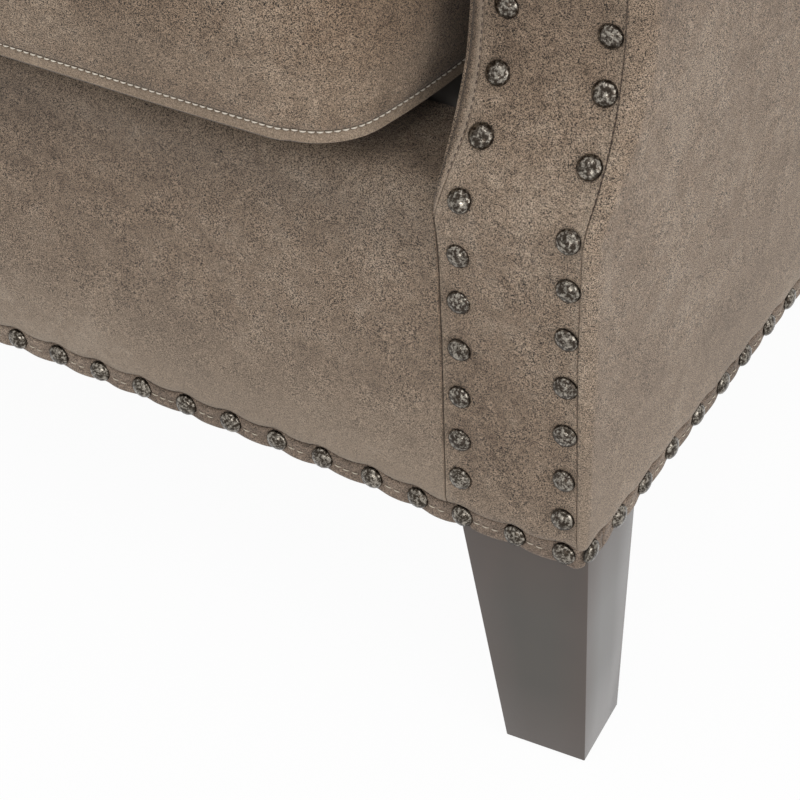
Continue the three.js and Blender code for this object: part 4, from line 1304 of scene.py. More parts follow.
@dataclass
class OutsideArm:
    """The flat outside of an arm, which turns the front corner to the panel's outer seam."""

    form: ChairForm
    nails: Nails
    thickness: float = 9 * MM
    edge: float = 0.7 * MM
    turn_in: float = 4 * MM
    bulge: float = 2.2 * MM
    flat_share: float = 0.1

    def surface(self, across: Array, z: Array) -> Array:
        """A place on the cover. Across runs from 0 to 1 round the corner, then to 2 along the side."""
        form = self.form
        seam = form.outer_seam(z) - form.clearance
        front = form.front_at(z)
        corner = form.outer_seam(z) - form.seam_gap
        rough_y = front + np.maximum(across - 1, 0) * (form.post_rear + form.rake_at(z) - front)
        front_dip = self.nails.front_dip(form.half - corner + 0 * across)
        dip = np.where(across < 1, front_dip, self.nails.side_dip(rough_y))
        seat = form.let_in(z, dip)
        radius = np.maximum(corner - seat, 0.3 * MM)
        angle = math.pi / 2 * (1 - np.clip((across - self.flat_share) / (1 - self.flat_share), 0, 1))
        flat = (seam - corner) * (1 - np.clip(across / self.flat_share, 0, 1))
        x = form.half - seat - radius * (1 - np.cos(angle)) - flat
        corner_y = front + seat + radius * (1 - np.sin(angle))
        rear = form.post_rear + form.rake_at(z)
        y = corner_y + np.maximum(across - 1, 0) * (rear - front - corner)
        return np.stack([x, y, z + 0 * x], axis=-1)

    def relief(self, across: Array, z: Array, base: Array) -> Array:
        """The side swells a little in its middle and is never dead flat."""
        share = np.clip(across - 1, 0, 1)
        rise = np.clip((z - self.form.bottom) / (self.form.crease_height - self.form.bottom), 0, 1)
        swell = self.bulge * np.sin(math.pi * share) ** 0.7 * np.sin(math.pi * rise) ** 0.8
        return swell + wavering(base, 11.0, 0.9 * MM, 7.7) * np.sin(math.pi * rise)

    def worn(self, across: Array, z: Array, base: Array) -> Array:
        """Rubbing on the corner, and lighter above the band."""
        corner = np.exp(-np.abs(base[..., 1] - self.form.front_at(z)) / (9 * MM))
        foot = np.exp(-np.maximum(z - self.form.band_top, 0) / (70 * MM))
        return np.clip(0.15 * corner + 0.7 * foot, 0, 1)

    def grime(self, across: Array, z: Array, base: Array) -> Array:
        """Painted shade in the crease over the band."""
        dip = np.where(across < 1, self.nails.front_dip(base[..., 0]), self.nails.side_dip(base[..., 1]))
        return self.form.crease(z, dip)

    def build(self, side: Side) -> bpy.types.Object:
        """Makes the cover for one side."""
        form = self.form
        corner = [0, 0, 0.03, 0.07, 0.13, 0.22, 0.34, 0.47, 0.6, 0.73, 0.86, 1.0]
        places = np.concatenate([corner, 1 + np.linspace(0, 1, 92)[1:] ** 1.15])
        depths = np.zeros(len(places))
        depths[:5] = self.turn_in + self.edge, self.edge, self.edge * 0.45, self.edge * 0.15, 0
        depths[-1] = self.turn_in
        foot = form.bottom + form.foot_rows()
        rest = stations(foot[-1] + 4 * MM, form.crease_height - 0.3 * MM, 4 * MM, RAW_EDGE,
                        turned_edge(1.5 * MM, 3 * MM))
        along = after_foot(foot, rest)
        name = f"outside_arm_{side.word}"
        pad = Pad(name, self.surface, (places, depths), along, self.thickness, 0.3 * MM, self.relief, self.worn,
                  form.foot_wall(self.thickness), self.grime)
        return pad.build(side)


@dataclass
class FrontBorder:
    """The cover over the front rail, up from the band and back over the front of the deck."""

    form: ChairForm
    nails: Nails
    lip_radius: float = 14 * MM
    lip_depth: float = 60 * MM
    thickness: float = 9 * MM
    edge: float = 0.8 * MM
    turn_in: float = 4.5 * MM

    @property
    def climb(self) -> float:
        """Length of the flat front, up to the roll."""
        return self.form.deck_top - self.lip_radius - self.form.bottom

    @property
    def length(self) -> float:
        """Length of the cover from its foot to the rear of its lip."""
        return self.climb + self.lip_radius * math.pi / 2 + self.lip_depth - self.lip_radius

    def surface(self, across: Array, along: Array) -> Array:
        """A place on the cover, by its x at the foot and its distance up and over."""
        form = self.form
        angle = np.clip((along - self.climb) / self.lip_radius, 0, math.pi / 2)
        flat = np.maximum(along - self.climb - self.lip_radius * math.pi / 2, 0)
        z = form.bottom + np.minimum(along, self.climb) + self.lip_radius * np.sin(angle)
        reach = form.half - form.border_side(z)
        x = across * reach / (form.half - form.border_side(np.array(form.bottom)))
        depth = form.let_in(z, self.nails.front_dip(x)) * (along < self.climb)
        y = form.front + self.lip_radius * (1 - np.cos(angle)) + flat + depth
        return np.stack([x, y, z], axis=-1)

    def relief(self, across: Array, along: Array, base: Array) -> Array:
        """Soft unevenness over the rail."""
        held = smoothstep(along, 12 * MM, 40 * MM)
        return (wavering(base, 9.0, 1.3 * MM, 1.4) + wavering(base, 34.0, 0.35 * MM, 2.2)) * held + 0.8 * MM * held

    def worn(self, across: Array, along: Array, base: Array) -> Array:
        """Lighter above the band, and rubbed on the roll under the sitter's knees."""
        foot = np.exp(-(np.maximum(base[..., 2] - self.form.band_top, 0) / (48 * MM)) ** 1.5)
        roll = np.exp(-((along - self.climb - 10 * MM) / (18 * MM)) ** 2)
        return 1.0 * foot + 0.3 * roll

    def grime(self, across: Array, along: Array, base: Array) -> Array:
        """Painted shade in the crease over the band, and a painted shadow under the cushion's overhang."""
        # Painted shadow that falls from the cushion's overhang onto the top of the border.
        under = 0.4 * smoothstep(along, self.climb - 45 * MM, self.climb + 4 * MM)
        return np.maximum(under, self.form.crease(base[..., 2], self.nails.front_dip(base[..., 0])))

    def build(self) -> bpy.types.Object:
        """Makes the border."""
        form = self.form
        reach = form.half - float(form.border_side(np.array(form.bottom)))
        edge = turned_edge(self.edge, self.turn_in)
        across = stations(-reach, reach, 4 * MM, edge, edge)
        foot = form.foot_rows()
        rest = stations(foot[-1] + 3.4 * MM, self.length, 3.4 * MM, RAW_EDGE, turned_edge(3 * MM, 4 * MM))
        along = after_foot(foot, rest)
        pad = Pad("front_border_cover", self.surface, across, along, self.thickness, 0.2 * MM,
                  self.relief, self.worn, form.foot_wall(self.thickness), self.grime)
        return pad.build()


@dataclass
class ArmRoll:
    """One cover from the deck up the inside arm, over the roll and down to the crease outside.

    Its front corner is rolled round to the panel's inner seam, and tapers to a point under the kink.
    """

    form: ChairForm
    thickness: float = 8 * MM
    corner_run: float = 10 * MM  # of the distance along the arm that stands for the front corner
    turn_in: float = 4 * MM
    tuck: float = 9 * MM

    @property
    def face_length(self) -> float:
        """Height of the inside arm from the kink's strip to the roll's centre."""
        return self.form.roll_height - self.form.kink + self.form.strip_taper

    @property
    def crease_angle(self) -> float:
        """How far round the roll the crease lies, from the inside arm."""
        return math.pi + math.acos(self.form.roll_inset / self.form.roll_radius)

    @property
    def length(self) -> float:
        """Length of the cover round its section, to its turned-under end."""
        return self.face_length + self.form.roll_radius * self.crease_angle + self.tuck

    def surface(self, around: Array, along: Array) -> Array:
        """A place on the cover, by its distance round the section and back from the front corner."""
        form = self.form
        span = form.post_rear - form.front
        behind = np.maximum(along, 0)
        floor = form.deck_top + 0.7 * MM
        foot = between(form.kink - form.strip_taper, floor, smoothstep(behind, 2 * MM, 16 * MM))
        on_roll = around > self.face_length
        z_face = between(foot, form.roll_height, np.clip(around / self.face_length, 0, 1))
        angle = np.clip((around - self.face_length) / form.roll_radius, 0, self.crease_angle)
        under = np.maximum(around - self.face_length - form.roll_radius * self.crease_angle, 0)
        rise = np.clip((z_face - floor) / (form.roll_height - floor), 0, 1)
        at_seam = form.panel_inner(z_face) + form.strip(z_face)
        front_face = np.where(z_face < form.kink, at_seam, form.arm_face(z_face))
        swell = (form.arm_bulge - form.arm_front_bulge) * smoothstep(behind / span, 0, 0.15)
        face = front_face + swell * (1 - smoothstep(rise, 0.35, 1))
        inset = np.where(on_roll, form.roll_inset + form.roll_radius * np.cos(angle) + under, face)
        z = np.where(on_roll, form.roll_height + form.roll_radius * np.sin(angle) + 0.12 * under, z_face)
        front = form.front_at(z)
        turn = math.pi / 2 * np.clip(-along / self.corner_run, 0, 1)
        radius = np.where(on_roll, form.strip_on_roll, form.strip(z_face))
        drawn = radius * (1 - np.cos(turn))
        inset = inset - np.where(on_roll, np.cos(angle), 1.0) * drawn
        z_drawn = z - np.where(on_roll, np.sin(angle), 0.0) * drawn
        turned_in = np.maximum(-along - self.corner_run, 0)
        rear = form.post_rear + form.rake_at(z)
        y = front + radius * (1 - np.sin(turn)) + turned_in + behind * (rear - front - radius) / span
        return np.stack([form.half - inset, y, z_drawn], axis=-1)

    def wall(self, around: Array, along: Array, base: Array) -> Array:
        """Thickness of the cover, less where its front corner is small."""
        corner = np.where(around > self.face_length, self.form.strip_on_roll, self.form.strip(base[..., 2]))
        return between(np.maximum(0.8 * corner, 0.25 * MM), self.thickness, smoothstep(along, -2 * MM, 25 * MM))

    def relief(self, around: Array, along: Array, base: Array) -> Array:
        """The roll is stuffed a little unevenly, and the cover draws in at its crease."""
        away = np.clip(along, 0, 30 * MM) / (30 * MM)
        crease = np.exp(-np.abs(around - (self.length - self.tuck)) / (5 * MM))
        return wavering(base, 9.0, 1.4 * MM, 5.0) * away - 1.0 * MM * crease * smoothstep(along, -5 * MM, 5 * MM)

    def worn(self, around: Array, along: Array, base: Array) -> Array:
        """Rubbing on top of the roll, and a painted highlight along the front corner's ridge beside the panel's seam.
        """
        top = smoothstep(base[..., 2], self.form.roll_height + 10 * MM, self.form.arm_top)
        # A narrow painted highlight along the ridge of the rolled front corner, next to the seam.
        painted_ridge_highlight = np.exp(-((along + 9.4 * MM) / (1.5 * MM)) ** 2)
        return np.clip(0.3 * top + painted_ridge_highlight, 0, 1)

    def grime(self, around: Array, along: Array, base: Array) -> Array:
        """Painted shade on the inside arm beside the front corner, where the cushion shades it."""
        # Painted shade beside the front corner, fading behind it and above the cushion.
        beside = smoothstep(along, -0.84 * self.corner_run, -0.5 * self.corner_run)
        beside = beside * (1 - smoothstep(along, 30 * MM, 70 * MM))
        return 0.95 * beside * (1 - smoothstep(around, 150 * MM, 210 * MM))

    def build(self, side: Side) -> bpy.types.Object:
        """Makes the cover for one side."""
        form = self.form
        span = form.post_rear - form.front
        run = self.corner_run
        corner = -run * np.array([1 + self.turn_in / run, 1.15, 1.0, 0.9, 0.78, 0.65, 0.5, 0.35, 0.18])
        foot_edge = [(0.0, 2 * MM), (0.5 * MM, 0.4 * MM), (1.5 * MM, 0.0)]
        low, depths = stations(0, self.length, 4 * MM, foot_edge, RAW_EDGE)
        fine = np.arange(2.5, 36, 2.0) * MM
        rest = low[low > 36 * MM]
        around = (np.concatenate([low[:3], fine, rest]), np.zeros(3 + len(fine) + len(rest)))
        around[1][:3] = depths[:3]
        back, back_depths = stations(0, span, 7 * MM, RAW_EDGE, turned_edge(2 * MM, 3 * MM))
        along = (np.concatenate([corner, back]), np.concatenate([np.zeros(len(corner)), back_depths]))
        name = f"arm_roll_{side.word}"
        pad = Pad(name, self.surface, around, along, self.thickness, 0.2 * MM, self.relief, self.worn, self.wall,
                  self.grime)
        return pad.build(side)


@dataclass
class Wing:
    """The padded wing: a bullnosed board cover that stands on the arm roll and meets the crest."""

    form: ChairForm
    flare: float = 10 * MM
    thickness: float = 7 * MM
    top_gap: float = 0.6 * MM

    def limits(self, z: Array) -> tuple[Array, Array]:
        """Insets of the outer and inner faces, which meet under the crest's curve."""
        form = self.form
        rise = np.clip((z - form.crest_start) / form.crest_height, 0, 0.9999)
        curved = (form.half - form.crest_taper) * (1 - rise ** 3) ** (1 / 3)
        outer = form.half - np.where(z > form.crest_start, curved, form.back_half(z))
        return outer, np.full(np.shape(z), form.wing_inset)

    def top(self) -> float:
        """Height at which the outer face meets the inner one."""
        form = self.form
        share = (form.half - form.wing_inset) / (form.half - form.crest_taper)
        return form.crest_start + form.crest_height * (1 - share ** 3) ** (1 / 3) - self.top_gap

    def outline(self, around: Array, z: Array) -> tuple[Array, Array]:
        """Inset and y of a place round the section: 0 to 1 inside, to 2 round the nose, to 3 outside."""
        form = self.form
        outer, inner = self.limits(z)
        rear = form.post_rear + form.rake_at(z)
        front = form.wing_front(z)
        radius = (inner - outer) / 2
        flare = self.flare * np.minimum((rear - front) / form.wing_depth, 1)
        angle = math.pi * np.clip(around - 1, 0, 1)
        nose_inset = outer + radius + radius * np.cos(angle)
        nose_y = front + radius - radius * np.sin(angle)
        inside = np.clip(1 - around, 0, 1)
        outside = np.clip(around - 2, 0, 1)
        along = np.maximum(inside, outside)
        y = nose_y + along * (rear - front - radius)
        eased = (1 - along) ** 2
        return nose_inset - flare * eased, y

    def foot(self, inset: Array) -> Array:
        """Height of the arm roll under a place on the wing."""
        form = self.form
        side = np.clip(np.abs(inset - form.roll_inset) / form.roll_radius, 0, 0.98)
        return form.roll_height + form.roll_radius * np.sqrt(1 - side ** 2) + form.clearance

    def surface(self, around: Array, rise: Array) -> Array:
        """A place on the wing, by its place round the section and its share of the height."""
        form = self.form
        foot_inset, _ = self.outline(around, np.full(np.shape(around), form.arm_top))
        z = between(self.foot(foot_inset), self.top(), rise)
        inset, y = self.outline(around, z)
        return np.stack([form.half - inset, y, z], axis=-1)

    def wall(self, around: Array, rise: Array, base: Array) -> Array:
        """Thickness of the cover, less where the wing thins to its top edge."""
        z = between(self.form.arm_top, self.top(), rise)
        outer, inner = self.limits(z)
        return np.maximum(0.32 * (inner - outer), 0.25 * MM)

    def relief(self, around: Array, rise: Array, base: Array) -> Array:
        """Soft unevenness, with a little more stuffing inside the wing."""
        middle = np.sin(math.pi * np.clip(rise, 0, 1)) ** 0.6
        inner = np.exp(-((around - 0.45) / 0.35) ** 2)
        return (2.5 * MM * inner + wavering(base, 8.0, 1.4 * MM, 9.0)) * middle

    def worn(self, around: Array, rise: Array, base: Array) -> Array:
        """Rubbing on the nose of the wing."""
        return 0.45 * np.exp(-((around - 1.5) / 0.42) ** 2)

    def build(self, side: Side) -> bpy.types.Object:
        """Makes the wing for one side."""
        inside = np.linspace(0, 1, 46)[:-1]
        nose = np.linspace(1, 2, 22)
        outside = np.linspace(2, 3, 46)[1:]
        places = np.concatenate([inside, nose, outside])
        depths = np.zeros(len(places))
        depths[0] = depths[-1] = 3 * MM
        low = [(0.0, 5 * MM), (0.0, 2 * MM), (0.003, 0.8 * MM), (0.008, 0.2 * MM)]
        rows, row_depths = stations(0.0, 0.82, 0.011, low, RAW_EDGE)
        crest = 1 - 0.18 * np.cos(np.linspace(0, math.pi / 2, 26))[1:] ** 1.2
        along = (np.concatenate([rows, crest]), np.concatenate([row_depths, np.zeros(len(crest))]))
        name = f"wing_{side.word}"
        pad = Pad(name, self.surface, (places, depths), along, self.thickness, 0.002, self.relief, self.worn,
                  self.wall)
        pad.probe = 0.0015
        return pad.build(side)


@dataclass
class InsideBack:
    """The inside back: it leans from the seat, swells at the lumbar and rolls over the crest."""

    form: ChairForm
    seat_rise: float = 129 * MM  # cushion's top seam over the deck
    lumbar_rise: float = 420 * MM
    crown: float = 14 * MM
    side_edge: float = 22 * MM
    crest_pad: float = 40 * MM
    thickness: float = 10 * MM

    @property
    def reach(self) -> float:
        """Half the width between the wings."""
        return self.form.half - self.form.wing_inset - self.form.clearance

    def front_y(self, x: Array, z: Array) -> Array:
        """The y of the inside back's face."""
        form = self.form
        seat = form.deck_top + self.seat_rise
        share = np.clip(np.abs(x) / self.reach, 0, 1)
        lean = np.maximum(z - seat, 0) * math.tan(form.inside_rake)
        swell = self.crown * smoothstep(z, seat, form.bottom + self.lumbar_rise) * (1 - share ** 2)
        edge = self.side_edge * np.maximum((share - 0.75) / 0.25, 0) ** 2
        return form.rear - form.back_thickness + lean - swell + edge

    def surface(self, x: Array, rise: Array) -> Array:
        """A place on the cover: rise runs from 0 to 1 up the face, then to 2 over the crest."""
        form = self.form
        bottom = form.deck_top + 0.7 * MM
        top = form.crest_at(x)
        face_top = top - self.crest_pad
        z_face = between(bottom, face_top, np.clip(rise, None, 1))
        over = np.clip(rise - 1, 0, 1)
        across = np.sin(over * math.pi / 2) ** 1.35
        climb = np.sin(np.minimum(over * 1.45, 1) * math.pi / 2) ** 0.9
        drop = 0.25 * smoothstep(over, 0.62, 1.0)
        front = self.front_y(x, face_top)
        rear = form.post_rear + form.rake_at(top)
        y = np.where(rise > 1, between(front, rear, across), self.front_y(x, z_face))
        z = np.where(rise > 1, face_top + self.crest_pad * (climb - drop), z_face)
        return np.stack([x, y, z], axis=-1)

    def relief(self, x: Array, rise: Array, base: Array) -> Array:
        """Soft unevenness over the webbing."""
        held = np.clip(1 - (np.abs(x) / self.reach) ** 6, 0, 1)
        return wavering(base, 6.5, 2.6 * MM, 4.4) * held

    def worn(self, x: Array, rise: Array, base: Array) -> Array:
        """Rubbing over the crest."""
        crest = np.exp(-((rise - 1.25) / 0.25) ** 2)
        return 0.4 * crest

    def build(self) -> bpy.types.Object:
        """Makes the inside back."""
        across = stations(-self.reach, self.reach, 7 * MM, turned_edge(3 * MM, 5 * MM),
                          turned_edge(3 * MM, 5 * MM))
        face = np.linspace(0, 1, 96)[:-1]
        over = 1 + np.linspace(0, 1, 30)
        along = np.concatenate([face, over])
        depths = np.zeros(len(along))
        depths[0], depths[-1] = 4 * MM, 3 * MM
        pad = Pad("inside_back_cover", self.surface, across, (along, depths), self.thickness, 0.001,
                  self.relief, self.worn)
        pad.probe = 0.0006
        return pad.build()


@dataclass
class OutsideBack:
    """The outside back: a leaning panel with the crest's outline."""

    form: ChairForm
    nails: Nails
    inset: float = 6 * MM
    edge: float = 2.5 * MM
    turn_in: float = 3 * MM
    thickness: float = 6 * MM

    def surface(self, share: Array, rise: Array) -> Array:
        """A place on the panel, by its share across from the right and its share of the height."""
        form = self.form
        reach_top = form.half - form.crest_taper - self.inset
        top = form.crest_at(share * reach_top) - self.inset
        z = between(form.bottom, top, rise)
        narrowing = self.inset * smoothstep(z, form.arm_top, form.crest_start)
        depth = form.let_in(z, self.nails.front_dip(share * form.half))
        x = -share * (form.back_half(z) - narrowing - depth)
        y = form.rear + form.rake_at(z) - depth
        return np.stack([x, y, z], axis=-1)

    def relief(self, share: Array, rise: Array, base: Array) -> Array:
        """A slight fullness in the middle."""
        held = np.clip(1 - share ** 6, 0, 1) * np.sin(math.pi * np.clip(rise, 0, 1)) ** 0.5
        return (1.4 * MM + wavering(base, 7.0, 1.8 * MM, 6.2)) * held

    def worn(self, share: Array, rise: Array, base: Array) -> Array:
        """Rubbing at the crest."""
        return 0.35 * smoothstep(rise, 0.95, 1.0)

    def build(self) -> bpy.types.Object:
        """Makes the outside back."""
        width = self.form.half
        edge = [(place / width, depth) for place, depth in turned_edge(self.edge, self.turn_in)]
        across = stations(-1, 1, 7 * MM / width, edge, edge)
        height = self.form.chair_top - self.form.bottom
        top_edge = [(place / height, depth) for place, depth in turned_edge(self.edge, self.turn_in)]
        along = stations(0, 1, 8 * MM / height, RAW_EDGE, top_edge)
        foot = self.form.foot_rows() / height
        rest = along[0] > foot[-1]
        along = (np.append(foot, along[0][rest]), np.append(np.zeros(len(foot)), along[1][rest]))
        pad = Pad("outside_back_cover", self.surface, across, along, self.thickness, 0.0008, self.relief,
                  self.worn, self.form.foot_wall(self.thickness))
        return pad.build()


@dataclass
class SeatDeck:
    """The deck pad under the cushion, over the springs."""

    form: ChairForm
    edge: float = 8 * MM

    def build(self) -> bpy.types.Object:
        """Makes the deck."""
        low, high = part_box("seat_deck")
        height = high.z - low.z

        def surface(x: Array, y: Array) -> Array:
            return np.stack([x, y, np.full(np.shape(x), high.z)], axis=-1)

        def relief(x: Array, y: Array, base: Array) -> Array:
            share = np.clip((y - low.y) / (high.y - low.y), 0, 1)
            springs = np.cos(x / (120 * MM) * 2 * math.pi) * np.sin(math.pi * share)
            return -0.6 * MM - 0.5 * MM * springs + wavering(base, 12.0, 0.5 * MM)

        edge = turned_edge(self.edge, height - self.edge - 4 * MM)
        across = stations(low.x, high.x, 12 * MM, edge, edge)
        along = stations(low.y, high.y, 12 * MM, edge, edge)
        return Pad("deck_pad", surface, across, along, height - 2 * MM, relief=relief, finish=DECK_CLOTH).build()


# Base band


@dataclass
class BaseBand:
    """A folded strip round the foot of the body, sewn down its middle and held by nails."""

    form: ChairForm
    nails: Nails
    back_gap: float = 20 * MM
    step: float = 2.1 * MM
    fullness: float = 0.9 * MM
    corner_hang: float = 1.6 * MM

    def section(self) -> tuple[Array, Array]:
        """(outward, up) points round the folded strip, as shares of its thickness and height."""
        out = [0, 0.55, 0.86, 1.0, 0.98, 0.93, 0.90, 0.93, 0.98, 1.0, 0.86, 0.55, 0, 0]
        up = [-0.46, -0.5, -0.46, -0.36, -0.2, -0.07, 0, 0.07, 0.2, 0.36, 0.46, 0.5, 0.46, -0.46]
        return np.array(out), np.array(up)

    def at_corner(self, line: Array) -> Array:
        """How near each place is to a front corner: 1 at the corner, 0 from its first nails on."""
        beside = smoothstep(np.abs(line[:, 0]), self.form.half - 16 * MM, self.form.half - 5 * MM)
        return beside * (1 - smoothstep(line[:, 1] - self.form.front, 6 * MM, 16 * MM))

    def gap_to_nail(self, run: Array, nails: Array) -> Array:
        """Distance along the strip from each place to the nearest nail."""
        return np.abs(run[:, None] - nails[None, :]).min(axis=1)

    def strip(self, name: str, line: Array, outward: Array, upward: Array, nails: Array) -> bpy.types.Object:
        """Makes one strip.

        Args:
            name: The piece's name.
            line: Places along the middle of the strip's back.
            outward: The direction it faces at each place.
            upward: The direction of its upper edge at each place.
            nails: Where the nails are, as distances along the line.

        Returns:
            The strip's object.
        """
        form = self.form
        run = run_of(line)
        gap = self.gap_to_nail(run, nails)
        full = form.fullness_at(gap)
        out, up = self.section()
        dip = form.band_dip * full
        hang = form.band_hang * (0.5 + 0.5 * full) + self.corner_hang * self.at_corner(line)
        height = form.band_height - dip + hang
        proud = form.band_thickness + self.fullness * full - 0.35 * MM * (1 - full)
        waver = wavering(line, 60.0, 0.3 * MM, 8.8)
        points = (
            line[:, None, :]
            + outward[:, None, :] * (proud[:, None] * out[None, :])[..., None]
            + upward[:, None, :] * (height[:, None] * up[None, :] + (waver - (dip + hang) / 2)[:, None])[..., None]
        )
        # The band's back and folded edges against the body get painted shade; its face gets light rubbing.
        shares = np.repeat(np.clip(1 - out * 1.4, 0, 1), len(line))
        skin = Skin()
        skin.lay(points.transpose(1, 0, 2), 0.25 * (1 - shares), 0.7 * shares)
        skin.close()
        return finished(skin.work, name, BAND_SUEDE)

    def corner_line(self) -> tuple[Array, Array]:
        """The front strip's line round both corners, with its outward directions."""
        form = self.form
        radius = form.band_corner - form.band_thickness
        centre = form.half + form.band_proud - form.band_corner
        ahead = form.front - form.band_proud + form.band_corner
        turn = np.linspace(0, math.pi / 2, 11)
        back = np.arange(form.front + self.back_gap, ahead, -self.step)
        left = [(-centre - radius, y, -1.0, 0.0) for y in back]
        left += [(-centre - radius * math.cos(a), ahead - radius * math.sin(a), -math.cos(a), -math.sin(a))
                 for a in turn]
        inner = np.arange(-centre, centre, self.step)[1:]
        straight = [(x, ahead - radius, 0.0, -1.0) for x in inner]
        right = [(-x, y, -nx, ny) for x, y, nx, ny in reversed(left)]
        rows = np.array([*left, *straight, *right])
        zeros = np.zeros(len(rows))
        z = self.nails.band_middle() - form.front_droop(rows[:, 0])
        return (np.stack([rows[:, 0], rows[:, 1], z], axis=1), np.stack([rows[:, 2], rows[:, 3], zeros], axis=1))

    def nail_runs(self, line: Array, spots: Sequence[tuple[Array, Array]]) -> Array:
        """Distances along a line of the nails that hold it."""
        run = run_of(line)
        near = [np.linalg.norm(line - place, axis=1) for place, _ in spots]
        return np.array([run[gap.argmin()] for gap in near if gap.min() < 9 * MM])

    def upright(self, line: Array) -> Array:
        """Straight up, for each place of a line."""
        return np.tile([0.0, 0.0, 1.0], (len(line), 1))

    def stitch_line(self, line: Array, outward: Array, nails: Array) -> list[tuple[Array, Array]]:
        """The runs of the middle seam that show between the nails."""
        run = run_of(line)
        marks = np.sort(nails)
        edges = [(a, b) for a, b in zip([0.0, *marks], [*marks, run[-1]])]
        clear = self.nails.radius + 0.2 * MM
        form = self.form
        lines = []
        drop = np.array([0.0, 0.0, -0.45 * (form.band_dip + form.band_hang)])
        for start, end in edges:
            if end - start < 3 * clear:
                continue
            at = np.linspace(start + clear, end - clear, 12)
            full = form.fullness_at(np.minimum(at - start, end - at))
            spot = on_line(at, run, line)
            facing_out = unit(on_line(at, run, outward))
            proud = form.band_thickness + self.fullness * full - 0.35 * MM * (1 - full) - 0.1 * MM
            lines.append((spot + drop * full[:, None] + facing_out * proud[:, None], facing_out))
        return lines

    def build(self) -> list[tuple[bpy.types.Object, str]]:
        """Makes the four strips and their stitches, each with the CAD node that it stands for."""
        form = self.form
        rows = self.nails.rows()
        z = self.nails.band_middle()
        depth = form.band_thickness - form.band_proud
        made = []
        lines = []
        line, outward = self.corner_line()
        corner_nails = [*rows["nails_base_front"], rows["nails_base_right"][0], rows["nails_base_left"][0]]
        nails = self.nail_runs(line, corner_nails)
        made.append((self.strip("band_front", line, outward, self.upright(line), nails), "base_band_front"))
        lines += self.stitch_line(line, outward, nails)
        end = form.rear + form.band_proud - form.band_thickness - form.clearance
        along = np.arange(form.front + self.back_gap + form.clearance, end, self.step)
        along = np.append(along[:-1], end)
        for side in Side:
            ordered = along if side is Side.RIGHT else along[::-1]
            line = np.stack([np.full(len(ordered), side.value * (form.half - depth)), ordered,
                             z - form.side_droop(ordered)], axis=1)
            outward = np.tile([float(side.value), 0.0, 0.0], (len(line), 1))
            nails = self.nail_runs(line, rows[f"nails_base_{side.word}"][1:])
            name = f"band_{side.word}"
            made.append((self.strip(name, line, outward, self.upright(line), nails), f"base_band_{side.word}"))
            lines += self.stitch_line(line, outward, nails)
        reach = form.half + form.band_proud
        x = np.linspace(reach, -reach, round(2 * reach / self.step))
        y = self.nails.rear_face(z) - form.band_thickness
        line = np.stack([x, np.full(len(x), y), z - form.front_droop(x)], axis=1)
        lean = unit(np.array([[0.0, 1.0, -math.tan(form.back_rake)]]))
        rise = unit(np.array([[0.0, math.tan(form.back_rake), 1.0]]))
        outward, upward = np.repeat(lean, len(line), axis=0), np.repeat(rise, len(line), axis=0)
        nails = self.nail_runs(line, rows["nails_base_rear"])
        made.append((self.strip("band_rear", line, outward, upward, nails), "base_band_rear"))
        lines += self.stitch_line(line, outward, nails)
        row = StitchRow(pitch=4.7 * MM, length=3.6 * MM, thread=0.6 * MM)
        made.append((row.sew("band_stitches", lines, TAN_THREAD), ""))
        return made


# Cushion


